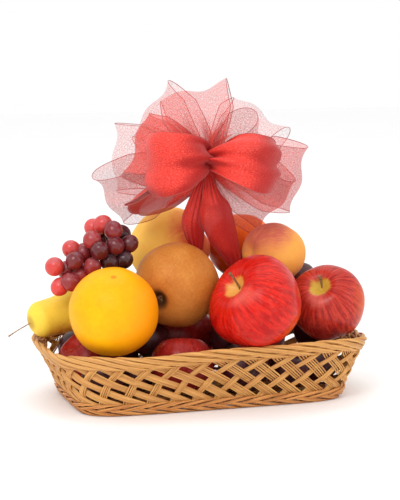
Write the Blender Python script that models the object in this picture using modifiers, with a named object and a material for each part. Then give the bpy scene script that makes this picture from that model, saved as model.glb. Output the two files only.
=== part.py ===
"""A fruit gift basket: an oblong wicker basket heaped with fruit under a gathered ribbon bow.

The model is in metres with +Z up. The basket stands on its foot border at Z = 0, its long sides
run along X, and its front long side faces -Y. Every piece is one closed solid of its own.
"""
import math

import bmesh
import bpy
import numpy as np
from mathutils import Matrix, Vector

# The basket's outer outlines: half length, half width, and how square the corners are.
# The dip and the rise of the hand-made rim: height, place as a turn round the basket, and spread.
RIM_OUTLINE = (0.1570, 0.0985, 3.3)
FOOT_OUTLINE = (0.1261, 0.0700, 6.0)
RIM_HEIGHT = 0.0613
RIM_END_DROP = 0.0055
RIM_DIP = (0.0035, 0.665, 0.045)
RIM_RISE = (0.0020, 0.870, 0.050)
RIM_WIDTH = 0.0085
RIM_DEPTH = 0.0125
RIM_SEGMENTS = 40
FOOT_HEIGHT = 0.0120
FOOT_WIDTH = 0.0085
FOOT_SEGMENTS = 36
# A border's section: the share of its depth that is rounded off, and where its flat lies in its width.
BORDER_ROUNDING = 0.22
BORDER_FLAT = (0.25, 0.80)
FLOOR_LIFT = 0.0030
FLOOR_THICKNESS = 0.0045
FLOOR_SEGMENTS = 40
# The gap between touching pieces, and how far the straight facets of a border stray from its curve.
GAP = 0.0003
FACET_SAG = 0.0004

# The open wall between foot and rim: bundles of reeds that cross in two slants.
BUNDLES = 34
BUNDLE_WIDTH = 0.0056
WALL_THICKNESS = 0.0030
WALL_INSET = -0.0038
STEEP_RUN = 0.031
CROSSING_ROWS = 4

# The bow: its knot, the way it faces, and the ribbon.
BOW_TURN = math.radians(-17.6)
BOW_TILT = math.radians(8.0)
KNOT = Vector((0.0085, -0.0040, 0.2180))
KNOT_RADIUS = 0.0120
RIBBON_WIDTH = 0.0635
RIBBON_THICKNESS = 0.0010
RIBBON_GATHER = 0.15

GRAPE_RADIUS = 0.0086
FLAT_ANGLE = math.radians(6.0)


def clear_scene():
    for thing in list(bpy.data.objects):
        bpy.data.objects.remove(thing, do_unlink=True)


def new_collection(name):
    group = bpy.data.collections.new(name)
    bpy.context.scene.collection.children.link(group)
    return group


def finish(name, rgb, roughness, metallic=0.0):
    """A plain Principled material in linear colour."""
    look = bpy.data.materials.new(name)
    look.use_nodes = True
    shader = look.node_tree.nodes["Principled BSDF"]
    shader.inputs["Base Color"].default_value = (*rgb, 1.0)
    shader.inputs["Roughness"].default_value = roughness
    shader.inputs["Metallic"].default_value = metallic
    return look


def add_object(name, mesh, group, look):
    thing = bpy.data.objects.new(name, mesh)
    group.objects.link(thing)
    mesh.materials.append(look)
    return thing


def settle(thing):
    """Replaces an object's mesh by its evaluated one and drops its modifiers."""
    depsgraph = bpy.context.evaluated_depsgraph_get()
    mesh = bpy.data.meshes.new_from_object(thing.evaluated_get(depsgraph))
    thing.modifiers.clear()
    thing.data = mesh
    return thing


def loft(name, rings, closed):
    """Skins closed sections with the same number of points; the ends are capped unless the path closes."""
    shape = bmesh.new()
    rows = [[shape.verts.new(point) for point in ring] for ring in rings]
    count = len(rows[0])
    pairs = list(zip(rows, rows[1:]))
    if closed:
        pairs.append((rows[-1], rows[0]))
    for row, following in pairs:
        for i in range(count):
            j = (i + 1) % count
            shape.faces.new((row[i], row[j], following[j], following[i]))
    if not closed:
        shape.faces.new(list(reversed(rows[0])))
        shape.faces.new(rows[-1])
    bmesh.ops.recalc_face_normals(shape, faces=shape.faces)
    bmesh.ops.triangulate(shape, faces=shape.faces)
    mesh = bpy.data.meshes.new(name)
    shape.to_mesh(mesh)
    shape.free()
    return mesh


def fuse(name, pieces, group, look, solver="MANIFOLD"):
    """Joins closed pieces into one solid by a Boolean union, and removes the pieces."""
    extra = bpy.data.collections.new(name + "_pieces")
    bpy.context.scene.collection.children.link(extra)
    base = pieces[0]
    for piece in pieces[1:]:
        for owner in list(piece.users_collection):
            owner.objects.unlink(piece)
        extra.objects.link(piece)
    union = base.modifiers.new("union", "BOOLEAN")
    union.operation = "UNION"
    union.operand_type = "COLLECTION"
    union.collection = extra
    union.solver = solver
    bpy.context.view_layer.update()
    settle(base)
    for piece in list(extra.objects):
        bpy.data.objects.remove(piece, do_unlink=True)
    bpy.data.collections.remove(extra)
    for owner in list(base.users_collection):
        owner.objects.unlink(base)
    group.objects.link(base)
    base.name = name
    base.data.materials.clear()
    base.data.materials.append(look)
    keep_outer_body(base.data)
    return base


def keep_outer_body(mesh):
    """Drops loose scraps and sealed inner skins that a union leaves, and welds its seams."""
    shape = bmesh.new()
    shape.from_mesh(mesh)
    bmesh.ops.remove_doubles(shape, verts=shape.verts, dist=1e-7)
    bmesh.ops.triangulate(shape, faces=shape.faces)
    seen = set()
    bodies = []
    for start in shape.faces:
        if start.index in seen:
            continue
        body, front = [], [start]
        seen.add(start.index)
        while front:
            face = front.pop()
            body.append(face)
            for edge in face.edges:
                for other in edge.link_faces:
                    if other.index not in seen:
                        seen.add(other.index)
                        front.append(other)
        bodies.append(body)
    bodies.sort(key=len)
    for body in bodies[:-1]:
        bmesh.ops.delete(shape, geom=body, context="FACES")
    loose = [point for point in shape.verts if not point.link_faces]
    bmesh.ops.delete(shape, geom=loose, context="VERTS")
    bmesh.ops.dissolve_limit(shape, angle_limit=FLAT_ANGLE, verts=shape.verts, edges=shape.edges)
    bmesh.ops.triangulate(shape, faces=shape.faces)
    shape.to_mesh(mesh)
    shape.free()


# The basket's outline

def outline_spots(outline, angles):
    """Points on an outline: half its length, half its width, and how square its corners are."""
    half_length, half_width, power = outline
    cosine, sine = np.cos(angles), np.sin(angles)
    reach = (np.abs(cosine) ** power + np.abs(sine) ** power) ** (-1.0 / power)
    return half_length * reach * cosine, half_width * reach * sine


def on_outline(outline, angle):
    x, y = outline_spots(outline, angle)
    return Vector((float(x), float(y)))


def blend_outline(share):
    """The wall's outline at a share of the way from the foot's underside to the rim's top."""
    return tuple(low + (high - low) * share for low, high in zip(FOOT_OUTLINE, RIM_OUTLINE))


def angle_table(samples=4096):
    """Angles at even steps of length round the wall's middle outline, and that outline's length."""
    angles = np.linspace(0.0, 2.0 * math.pi, samples + 1)
    x, y = outline_spots(blend_outline(0.5), angles)
    lengths = np.concatenate([[0.0], np.cumsum(np.hypot(np.diff(x), np.diff(y)))])
    return angles, lengths / lengths[-1], float(lengths[-1])


TABLE_ANGLES, TABLE_TURNS, GIRTH = angle_table()


def angle_at(turn):
    return float(np.interp(turn % 1.0, TABLE_TURNS, TABLE_ANGLES))


def rim_top(turn):
    """The rim's top at one turn: lower at the two ends, and uneven along the front as woven by hand."""
    x = on_outline(RIM_OUTLINE, angle_at(turn)).x
    top = RIM_HEIGHT - RIM_END_DROP * min(abs(x) / RIM_OUTLINE[0], 1.0) ** 3
    for sign, (amount, place_turn, spread) in ((-1.0, RIM_DIP), (1.0, RIM_RISE)):
        top += sign * amount * math.exp(-(((turn % 1.0) - place_turn) / spread) ** 2)
    return top


def wall_point(turn, height, outward=0.0):
    """A point on the flared wall: turn runs once round from +X by +Y, and height is in metres."""
    outline = blend_outline(height / RIM_HEIGHT)
    step = 0.002
    angle = angle_at(turn)
    here = on_outline(outline, angle)
    ahead = on_outline(outline, angle_at(turn + step))
    behind = on_outline(outline, angle_at(turn - step))
    along = (ahead - behind).normalized()
    normal = Vector((along.y, -along.x))
    flat = here + normal * outward
    return Vector((flat.x, flat.y, height))


def border_ring(turn, top, depth, width):
    """A rounded section of a border at one turn round the basket."""
    bottom = top - depth
    shoulder = BORDER_ROUNDING * depth
    outer, inner = BORDER_FLAT
    spots = (
        (top, outer * width), (top - shoulder, 0.0), (bottom + shoulder, 0.0), (bottom, outer * width),
        (bottom, inner * width), (top - 0.5 * depth, width), (top, inner * width),
    )
    return [wall_point(turn, height, -inset) for height, inset in spots]


def make_border(name, top_at, depth, width, segments, group, look):
    turns = [i / segments for i in range(segments)]
    rings = [border_ring(turn, top_at(turn), depth, width) for turn in turns]
    return add_object(name, loft(name, rings, closed=True), group, look)


def lattice_spot(turn, share, outward):
    """A point of the open wall: share runs from the foot border, 0, to the rim, 1."""
    low = FOOT_HEIGHT + GAP
    high = rim_top(turn) - RIM_DEPTH - GAP - 0.5 * FACET_SAG
    return wall_point(turn, low + (high - low) * share, WALL_INSET + outward)


def make_wall(group, look):
    """The lattice: steep bundles that climb to the right over shallow ones that climb to the left.

    Both slants are straight in turn against height, so where they cross follows from their runs.
    Each crossing is a four-sided patch, and the bundles are the strips between the crossings.
    """
    both = CROSSING_ROWS / BUNDLES
    steep_run = STEEP_RUN / GIRTH
    shallow_run = both - steep_run
    rise = RIM_HEIGHT - RIM_DEPTH - FOOT_HEIGHT
    steep_half = 0.5 * BUNDLE_WIDTH / math.sin(math.atan2(rise, STEEP_RUN)) / GIRTH
    shallow_half = 0.5 * BUNDLE_WIDTH / math.sin(math.atan2(rise, shallow_run * GIRTH)) / GIRTH
    shape = bmesh.new()
    welds = {}

    def corner(turn, share, outward):
        key = (round((turn % 1.0) * 1e6) % 1000000, round(share * 1e5), round(outward * 1e6))
        if key not in welds:
            welds[key] = shape.verts.new(lattice_spot(turn, share, outward))
        return welds[key]

    def slab(spots, open_sides):
        """A flat patch with an outer and an inner face, walled on the sides that meet nothing."""
        outer = [corner(turn, share, 0.5 * WALL_THICKNESS) for turn, share in spots]
        inner = [corner(turn, share, -0.5 * WALL_THICKNESS) for turn, share in spots]
        shape.faces.new(outer)
        shape.faces.new(list(reversed(inner)))
        for side in open_sides:
            other = (side + 1) % len(spots)
            shape.faces.new((outer[other], outer[side], inner[side], inner[other]))

    def meeting(steep_turn, shallow_turn):
        """Where a steep edge and a shallow edge meet; each turn is the edge's own at mid height."""
        share = 0.5 + (shallow_turn - steep_turn) / both
        return steep_turn + steep_run * (share - 0.5), share

    def crossing(i, row):
        steep = i / BUNDLES
        shallow = steep + both * ((row + 0.5) / CROSSING_ROWS - 0.5)
        return [
            meeting(steep - steep_half, shallow - shallow_half),
            meeting(steep + steep_half, shallow - shallow_half),
            meeting(steep + steep_half, shallow + shallow_half),
            meeting(steep - steep_half, shallow + shallow_half),
        ]

    for i in range(BUNDLES):
        steep = i / BUNDLES
        rows = [crossing(i, row) for row in range(CROSSING_ROWS)]
        for row, spots in enumerate(rows):
            slab(spots, ())
        foot = [(steep - steep_half - 0.5 * steep_run, 0.0), (steep + steep_half - 0.5 * steep_run, 0.0)]
        head = [(steep - steep_half + 0.5 * steep_run, 1.0), (steep + steep_half + 0.5 * steep_run, 1.0)]
        sides = [side for spots in rows for side in ((spots[0], spots[1]), (spots[3], spots[2]))]
        chain = [foot, *sides, head]
        for k in range(0, len(chain), 2):
            low, high = chain[k], chain[k + 1]
            ends = [side for side, open_end in ((0, k == 0), (2, k == len(chain) - 2)) if open_end]
            slab([low[0], low[1], high[1], high[0]], [1, 3] + ends)
        for row in range(CROSSING_ROWS):
            here = rows[row]
            shallow = steep + both * ((row + 0.5) / CROSSING_ROWS - 0.5)
            if row == CROSSING_ROWS - 1:
                end = [(shallow - shallow_half - 0.5 * shallow_run, 1.0),
                       (shallow + shallow_half - 0.5 * shallow_run, 1.0)]
                slab([here[0], end[0], end[1], here[3]], [0, 1, 2])
            else:
                after = crossing(i - 1, row + 1)
                slab([here[0], after[1], after[2], here[3]], [0, 2])
            if row == 0:
                start = [(shallow - shallow_half + 0.5 * shallow_run, 0.0),
                         (shallow + shallow_half + 0.5 * shallow_run, 0.0)]
                slab([start[0], here[1], here[2], start[1]], [0, 2, 3])
    bmesh.ops.recalc_face_normals(shape, faces=shape.faces)
    bmesh.ops.triangulate(shape, faces=shape.faces)
    mesh = bpy.data.meshes.new("basket_wall")
    shape.to_mesh(mesh)
    shape.free()
    return add_object("basket_wall", mesh, group, look)


def make_floor(group, look):
    """The woven floor, a plate inside the foot border."""
    inset = FOOT_WIDTH + GAP + FACET_SAG
    edge = [wall_point(i / FLOOR_SEGMENTS, 0.0, -inset) for i in range(FLOOR_SEGMENTS)]
    heights = (FLOOR_LIFT, FLOOR_LIFT + FLOOR_THICKNESS)
    rings = [[Vector((spot.x, spot.y, height)) for spot in edge] for height in heights]
    return add_object("basket_floor", loft("basket_floor", rings, closed=False), group, look)


def make_basket(group):
    reed = finish("wicker_reed", (0.52, 0.30, 0.12), 0.55)
    make_floor(group, reed)
    make_border("basket_foot", lambda turn: FOOT_HEIGHT, FOOT_HEIGHT, FOOT_WIDTH, FOOT_SEGMENTS, group, reed)
    make_wall(group, reed)
    make_border("basket_rim", rim_top, RIM_DEPTH, RIM_WIDTH, RIM_SEGMENTS, group, reed)


# The fruit

def round_profile(width, height, top_dip=0.0, bottom_dip=0.0, shoulder=0.0, steps=10, dip_spread=0.42):
    """Half of a turned fruit, from the stem end down: a dip at each end and fuller shoulders."""
    points = []
    for i in range(steps + 1):
        angle = math.pi * i / steps
        reach = 1.0 - top_dip * math.exp(-((angle / dip_spread) ** 2))
        reach -= bottom_dip * math.exp(-(((math.pi - angle) / dip_spread) ** 2))
        swell = 1.0 + shoulder * math.cos(angle) * math.sin(angle) ** 2
        points.append((0.5 * width * reach * swell * math.sin(angle), 0.5 * height * reach * math.cos(angle)))
    return points


def pear_profile(length, steps=12):
    """Half of a pear, from the blunt tip of its neck down to the round base."""
    points = []
    for i in range(steps + 1):
        along = 0.5 * length * (1.0 - math.cos(math.pi * i / steps))
        share = min(max((along - PEAR_SWELL[0]) / (PEAR_SWELL[1] - PEAR_SWELL[0]), 0.0), 1.0)
        swell = share * share * (3.0 - 2.0 * share)
        radius = 0.5 * (PEAR_NECK + (PEAR_WIDTH - PEAR_NECK) * swell)
        for reach, rounding in ((along, PEAR_TIP_ROUND), (length - along, PEAR_BASE_ROUND)):
            radius *= math.sqrt(max(0.0, 1.0 - (1.0 - min(reach / rounding, 1.0)) ** 2))
        points.append((radius, 0.5 * length - along))
    return points


def turned(name, profile, sides, group, look):
    """A solid turned about Z from a profile at +X that runs from its top to its bottom."""
    mesh = bpy.data.meshes.new(name)
    spots = [(max(x, 0.0), 0.0, z) for x, z in profile]
    spots[0] = (0.0, 0.0, spots[0][2])
    spots[-1] = (0.0, 0.0, spots[-1][2])
    mesh.from_pydata(spots, [(i, i + 1) for i in range(len(spots) - 1)], [])
    thing = add_object(name, mesh, group, look)
    screw = thing.modifiers.new("turn", "SCREW")
    screw.axis = "Z"
    screw.steps = sides
    screw.render_steps = sides
    screw.use_merge_vertices = True
    screw.merge_threshold = 0.00001
    screw.use_smooth_shade = True
    settle(thing)
    shape = bmesh.new()
    shape.from_mesh(thing.data)
    bmesh.ops.remove_doubles(shape, verts=shape.verts, dist=0.00001)
    bmesh.ops.recalc_face_normals(shape, faces=shape.faces)
    bmesh.ops.triangulate(shape, faces=shape.faces)
    shape.to_mesh(thing.data)
    shape.free()
    return thing


def place(thing, where, axis, spin=0.0):
    """Moves a solid turned about Z so that its top points along the axis."""
    turn = Vector((0.0, 0.0, 1.0)).rotation_difference(Vector(axis).normalized())
    matrix = Matrix.Translation(where) @ turn.to_matrix().to_4x4() @ Matrix.Rotation(spin, 4, "Z")
    thing.data.transform(matrix)
    return thing


def round_ring(centre, along, width, sides):
    """Points of a round section square to a direction."""
    side = along.orthogonal().normalized()
    other = along.cross(side)
    angles = [math.tau * i / sides for i in range(sides)]
    return [centre + (side * math.cos(angle) + other * math.sin(angle)) * 0.5 * width for angle in angles]


def stem_mesh(name, start, end, start_width, end_width):
    """A woody stem, a little thicker at its free end, with six sides."""
    along = (end - start).normalized()
    spots = ((start, start_width), (start.lerp(end, 0.6), start_width), (end, end_width))
    rings = [round_ring(spot, along, width, 6) for spot, width in spots]
    return loft(name, rings, closed=False)


# Each fruit: name, kind, centre, width, height, and the way its stem end points.
FRUITS = (
    ("orange_front", "orange", (-0.0950, -0.0482, 0.0915), 0.0800, 0.0790, (-0.10, -0.42, 0.90)),
    ("orange_back", "orange", (0.0627, 0.0618, 0.1291), 0.0650, 0.0635, (0.10, 0.20, 0.97)),
    ("russet_pear", "russet", (-0.0248, -0.0115, 0.1064), 0.0790, 0.0765, (0.71, 0.65, 0.26)),
    ("apple_front", "apple", (0.0325, -0.0690, 0.0958), 0.0865, 0.0780, (-0.77, -0.24, 0.59)),
    ("apple_right", "apple", (0.1137, -0.0392, 0.0865), 0.0700, 0.0720, (-0.49, -0.55, 0.67)),
    ("apple_low_left", "apple", (-0.1045, 0.0050, 0.0375), 0.0600, 0.0560, (-0.60, -0.10, 0.79)),
    ("apple_low_front", "apple", (-0.0300, -0.0450, 0.0385), 0.0570, 0.0550, (0.10, 0.30, 0.95)),
    ("apple_low_centre", "apple", (-0.0105, 0.0425, 0.0475), 0.0760, 0.0720, (0.30, 0.60, 0.74)),
    ("apple_low_back", "apple", (0.0650, 0.0420, 0.0438), 0.0715, 0.0660, (0.10, 0.75, 0.65)),
    ("peach_right", "peach", (0.0725, -0.0050, 0.1310), 0.0570, 0.0620, (-0.94, -0.29, 0.19)),
    ("peach_back", "peach", (-0.0105, 0.0612, 0.1305), 0.0760, 0.0800, (0.80, -0.17, 0.57)),
    ("plum_right", "plum", (0.1180, 0.0060, 0.0530), 0.0395, 0.0400, (0.20, 0.10, 0.97)),
    ("plum_high", "plum", (0.1108, 0.0290, 0.0985), 0.0340, 0.0360, (0.30, 0.20, 0.93)),
    ("plum_back_right", "plum", (0.1180, 0.0460, 0.0600), 0.0380, 0.0390, (0.10, 0.40, 0.91)),
    ("plum_back_high", "plum", (0.0950, 0.0650, 0.0880), 0.0370, 0.0380, (0.40, 0.40, 0.82)),
    ("plum_back_middle", "plum", (0.0260, 0.0705, 0.0850), 0.0370, 0.0370, (-0.30, 0.70, 0.65)),
    ("plum_back_left", "plum", (-0.0440, 0.0740, 0.0840), 0.0360, 0.0370, (0.20, 0.80, 0.57)),
    ("plum_low_left", "plum", (-0.1042, -0.0442, 0.0310), 0.0390, 0.0400, (0.50, 0.10, 0.86)),
    ("plum_low_front", "plum", (-0.0670, -0.0215, 0.0250), 0.0320, 0.0330, (0.10, 0.50, 0.86)),
    ("plum_low_middle", "plum", (0.0300, -0.0420, 0.0320), 0.0470, 0.0475, (0.60, 0.20, 0.77)),
    ("plum_low_right", "plum", (0.0750, -0.0415, 0.0285), 0.0380, 0.0390, (0.10, -0.50, 0.86)),
    ("plum_low_end", "plum", (0.1110, -0.0260, 0.0290), 0.0370, 0.0380, (-0.50, 0.10, 0.86)),
    ("plum_low_back", "plum", (-0.0640, 0.0500, 0.0280), 0.0380, 0.0390, (0.20, 0.50, 0.84)),
    ("plum_low_corner", "plum", (-0.1048, 0.0575, 0.0390), 0.0330, 0.0340, (-0.40, 0.50, 0.77)),
    ("plum_dark_left", "plum", (-0.0477, 0.0002, 0.0552), 0.0350, 0.0350, (-0.10, -0.40, 0.91)),
    ("plum_dark_right", "plum", (0.0274, -0.0040, 0.0530), 0.0350, 0.0360, (0.20, -0.40, 0.89)),
    ("plum_middle", "plum", (0.0680, -0.0070, 0.0795), 0.0415, 0.0420, (0.40, -0.40, 0.82)),
)
# Each kind: top dip, bottom dip, fuller shoulder, sides, rings, colour, roughness.
KINDS = {
    "orange": (0.05, 0.03, 0.00, 13, 8, (0.95, 0.42, 0.02), 0.45),
    "russet": (0.14, 0.20, 0.00, 13, 8, (0.56, 0.24, 0.05), 0.50),
    "apple": (0.34, 0.24, 0.10, 13, 9, (0.46, 0.03, 0.02), 0.28),
    "peach": (0.16, 0.04, 0.02, 13, 8, (0.80, 0.38, 0.12), 0.70),
    "plum": (0.06, 0.02, 0.00, 10, 6, (0.07, 0.02, 0.03), 0.35),
}
# The two apple stems that show: length, and how the stem leans off the apple's own axis.
STEM_WIDTHS = (0.0018, 0.0028)
STEM_SINK = 0.0030
APPLE_STEMS = {"apple_front": (0.0215, (-0.36, -0.18, 1.00)), "apple_right": (0.0150, (-0.09, 0.27, 1.45))}
PEAR_TIP = Vector((-0.1555, 0.0240, 0.0720))
PEAR_BASE = Vector((-0.0554, 0.0480, 0.0910))
PEAR_WIDTH = 0.0565
PEAR_NECK = 0.0340
PEAR_TIP_ROUND = 0.0120
PEAR_BASE_ROUND = 0.0340
PEAR_SWELL = (0.024, 0.072)
PEAR_STEM_END = Vector((-0.1767, 0.0200, 0.0611))
PEAR_STEM_WIDTHS = (0.0016, 0.0022)


def make_fruit(group):
    looks = {}
    for name, kind, centre, width, height, axis in FRUITS:
        top_dip, bottom_dip, shoulder, sides, rings, rgb, roughness = KINDS[kind]
        if kind not in looks:
            looks[kind] = finish(kind + "_skin", rgb, roughness)
        profile = round_profile(width, height, top_dip, bottom_dip, shoulder, rings)
        fruit = place(turned(name, profile, sides, group, looks[kind]), Vector(centre), axis)
        if name in APPLE_STEMS:
            reach, lean = APPLE_STEMS[name]
            up = Vector(axis).normalized()
            start = Vector(centre) + up * (0.5 * height * (1.0 - top_dip) - STEM_SINK)
            end = start + (up + Vector(lean)).normalized() * reach
            wood = add_object("stem", stem_mesh("stem", start, end, *STEM_WIDTHS), group, looks[kind])
            fuse(name, [fruit, wood], group, looks[kind])


def make_yellow_pear(group):
    look = finish("yellow_pear_skin", (0.88, 0.62, 0.06), 0.40)
    length = (PEAR_TIP - PEAR_BASE).length
    profile = pear_profile(length)
    body = turned("yellow_pear", profile, 14, group, look)
    place(body, (PEAR_TIP + PEAR_BASE) * 0.5, PEAR_TIP - PEAR_BASE)
    start = PEAR_TIP + (PEAR_BASE - PEAR_TIP).normalized() * STEM_SINK
    wood = add_object("stem", stem_mesh("stem", start, PEAR_STEM_END, *PEAR_STEM_WIDTHS), group, look)
    fuse("yellow_pear", [body, wood], group, look)


# The grape bunch

GRAPE_CORE_ENDS = (Vector((-0.0790, 0.0080, 0.1470)), Vector((-0.1240, 0.0060, 0.1180)))
GRAPE_CORE_RADIUS = 0.0130
GRAPE_CORE_STEPS = 4
# The grapes of the bunch, those in front first and then those behind them.
GRAPES = (
    (-0.082, 0.000, 0.158), (-0.089, 0.012, 0.162), (-0.095, 0.020, 0.158), (-0.102, 0.000, 0.150),
    (-0.097, -0.008, 0.141), (-0.082, -0.006, 0.145), (-0.067, 0.000, 0.145), (-0.118, 0.014, 0.140),
    (-0.119, -0.002, 0.132), (-0.136, 0.006, 0.126), (-0.124, -0.006, 0.113), (-0.132, 0.002, 0.108),
    (-0.103, -0.004, 0.126), (-0.112, 0.004, 0.117), (-0.073, -0.004, 0.131), (-0.086, -0.002, 0.129),
    (-0.107, 0.012, 0.137), (-0.123, 0.014, 0.121), (-0.070, 0.016, 0.152), (-0.081, 0.024, 0.148),
    (-0.101, 0.020, 0.127), (-0.117, 0.018, 0.117), (-0.078, 0.022, 0.133),
)


def make_grapes(group):
    look = finish("grape_skin", (0.16, 0.02, 0.03), 0.25)
    pieces = []
    start, end = GRAPE_CORE_ENDS
    along = (end - start).normalized()
    rings = []
    for i in range(GRAPE_CORE_STEPS + 1):
        share = i / GRAPE_CORE_STEPS
        width = 2.0 * GRAPE_CORE_RADIUS * (0.45 + 0.55 * math.sin(math.pi * share))
        rings.append(round_ring(start.lerp(end, share), along, width, 8))
    pieces.append(add_object("core", loft("core", rings, closed=False), group, look))
    for i, centre in enumerate(GRAPES):
        shape = bmesh.new()
        bmesh.ops.create_uvsphere(shape, u_segments=7, v_segments=4, radius=GRAPE_RADIUS)
        bmesh.ops.triangulate(shape, faces=shape.faces)
        mesh = bpy.data.meshes.new("grape")
        shape.to_mesh(mesh)
        shape.free()
        grape = add_object("grape", mesh, group, look)
        place(grape, Vector(centre), (math.sin(i * 2.4), math.cos(i * 2.4), 0.8), i * 0.7)
        pieces.append(grape)
    return fuse("grapes", pieces, group, look)


# The bow

def bow_axes():
    """The bow's own right, up and forward directions; forward is the way that it faces."""
    forward = Vector((math.sin(BOW_TURN) * math.cos(BOW_TILT), -math.cos(BOW_TURN) * math.cos(BOW_TILT),
                      math.sin(BOW_TILT)))
    right = Vector((math.cos(BOW_TURN), math.sin(BOW_TURN), 0.0))
    return right, forward.cross(right), forward


BOW_RIGHT, BOW_UP, BOW_FORWARD = bow_axes()


def from_bow(x, y, z):
    return BOW_RIGHT * x + BOW_UP * y + BOW_FORWARD * z


# Each loop: where its far end lies from the knot (right, up, forward, in metres), the direction
# across the ribbon there, and how far its two layers part.
LOOPS = (
    ((-0.014, 0.066, 0.004), (0.95, 0.24, 0.10), 0.036),
    ((-0.054, 0.052, -0.022), (0.66, 0.66, 0.36), 0.030),
    ((0.050, 0.046, -0.022), (0.62, -0.70, 0.36), 0.030),
    ((-0.068, 0.017, -0.006), (0.18, 0.94, -0.20), 0.036),
    ((-0.046, -0.006, 0.040), (-0.10, 0.97, 0.20), 0.040),
    ((0.056, 0.000, 0.036), (-0.06, 0.97, 0.18), 0.042),
    ((0.048, 0.030, 0.004), (-0.30, 0.42, 0.85), 0.034),
    ((0.084, -0.016, -0.004), (0.10, 0.93, 0.35), 0.030),
    ((0.064, -0.040, -0.032), (0.45, 0.62, 0.40), 0.026),
    ((-0.094, -0.034, -0.012), (0.20, 0.72, 0.60), 0.026),
    ((-0.088, 0.006, -0.020), (0.06, 0.97, 0.18), 0.030),
    ((-0.072, -0.044, -0.006), (0.50, 0.45, 0.74), 0.022),
)
# The two tails: points of each middle line from the knot, and the direction across the ribbon.
TAILS = (
    (((0.000, -0.004, 0.006), (-0.002, -0.030, 0.006), (-0.001, -0.049, -0.006), (0.0045, -0.068, -0.016),
      (0.0095, -0.0860, -0.026), (0.0125, -0.0960, -0.031)), (0.95, 0.16, 0.10), 0.62),
    (((0.000, -0.004, 0.000), (-0.008, -0.028, -0.002), (-0.016, -0.046, -0.010), (-0.019, -0.060, -0.018),
      (-0.017, -0.068, -0.022)), (0.90, 0.30, 0.20), 0.55),
)
LOOP_STEPS = 8
# How far apart a loop's two layers leave the knot, and how soon the gathered ribbon spreads again.
LOOP_ROOT = 0.0020
LOOP_SPREAD = 1.5
TAIL_SPREAD = 1.8


def ribbon_section(centre, across, normal, width):
    half = across * 0.5 * width
    lift = normal * 0.5 * RIBBON_THICKNESS
    return [centre - half - lift, centre + half - lift, centre + half + lift, centre - half + lift]


def loop_mesh(name, reach, across, parting):
    """A loop of ribbon: out from the knot on one side and back on the other, widest at its far end."""
    out = from_bow(*reach)
    side = from_bow(*across)
    side = (side - out * side.dot(out) / out.length_squared).normalized()
    normal = out.cross(side).normalized()

    def middle(share):
        distance = (0.5 - 0.5 * math.cos(math.tau * share)) ** 0.8
        bulge = 0.5 * parting * math.sin(math.tau * share) + LOOP_ROOT * (1.0 - 2.0 * share)
        return distance, KNOT + out * distance + normal * bulge

    rings = []
    step = 0.0005
    for i in range(LOOP_STEPS + 1):
        share = i / LOOP_STEPS
        distance, centre = middle(share)
        along = (middle(min(share + step, 1.0))[1] - middle(max(share - step, 0.0))[1]).normalized()
        opened = RIBBON_GATHER + (1.0 - RIBBON_GATHER) * min(1.0, distance * LOOP_SPREAD) ** 0.8
        rings.append(ribbon_section(centre, side, side.cross(along), RIBBON_WIDTH * opened))
    return loft(name, rings, closed=False)


def tail_mesh(name, points, across, spread):
    spots = [KNOT + from_bow(*point) for point in points]
    side = from_bow(*across).normalized()
    rings = []
    for i, spot in enumerate(spots):
        share = i / (len(spots) - 1)
        before, after = spots[max(i - 1, 0)], spots[min(i + 1, len(spots) - 1)]
        along = (after - before).normalized()
        level = (side - along * side.dot(along)).normalized()
        opened = RIBBON_GATHER + (spread - RIBBON_GATHER) * min(1.0, share * TAIL_SPREAD)
        rings.append(ribbon_section(spot, level, level.cross(along), RIBBON_WIDTH * opened))
    return loft(name, rings, closed=False)


def make_bow(group):
    look = finish("ribbon_red", (0.72, 0.04, 0.03), 0.45)
    shape = bmesh.new()
    bmesh.ops.create_icosphere(shape, subdivisions=2, radius=KNOT_RADIUS)
    mesh = bpy.data.meshes.new("knot")
    shape.to_mesh(mesh)
    shape.free()
    mesh.transform(Matrix.Translation(KNOT))
    pieces = [add_object("knot", mesh, group, look)]
    for reach, across, parting in LOOPS:
        pieces.append(add_object("loop", loop_mesh("loop", reach, across, parting), group, look))
    for points, across, spread in TAILS:
        pieces.append(add_object("tail", tail_mesh("tail", points, across, spread), group, look))
    return fuse("bow", pieces, group, look)


PICK_WIDTH = 0.0028
PICK_CLEARANCE = 0.0010
PICK_FOOT = Vector((0.0615, 0.0332, 0.0802))


def make_pick(group):
    """The wooden pick that holds the bow up out of the heap."""
    look = finish("pick_wood", (0.20, 0.12, 0.05), 0.60)
    away = (PICK_FOOT - KNOT).normalized()
    start = KNOT + away * (KNOT_RADIUS + PICK_CLEARANCE)
    mesh = stem_mesh("bow_pick", start, PICK_FOOT, PICK_WIDTH, PICK_WIDTH)
    return add_object("bow_pick", mesh, group, look)


def centre_on_floor(group):
    """Moves everything so that the object's box is centred on X and Y, with its foot at Z = 0."""
    spots = [thing.matrix_world @ point.co for thing in group.objects for point in thing.data.vertices]
    middle_x = 0.5 * (min(spot.x for spot in spots) + max(spot.x for spot in spots))
    middle_y = 0.5 * (min(spot.y for spot in spots) + max(spot.y for spot in spots))
    move = Matrix.Translation((-middle_x, -middle_y, 0.0))
    for thing in group.objects:
        thing.data.transform(move)


def main():
    clear_scene()
    group = new_collection("fruit_gift_basket")
    make_basket(group)
    make_fruit(group)
    make_yellow_pear(group)
    make_grapes(group)
    make_bow(group)
    make_pick(group)
    centre_on_floor(group)


main()
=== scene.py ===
"""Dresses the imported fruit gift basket: woven reed, fruit skins, a bunch of grapes and a sheer ribbon bow."""
import math
import random

import bpy
import numpy as np
from mathutils import Matrix, Vector, noise


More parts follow.
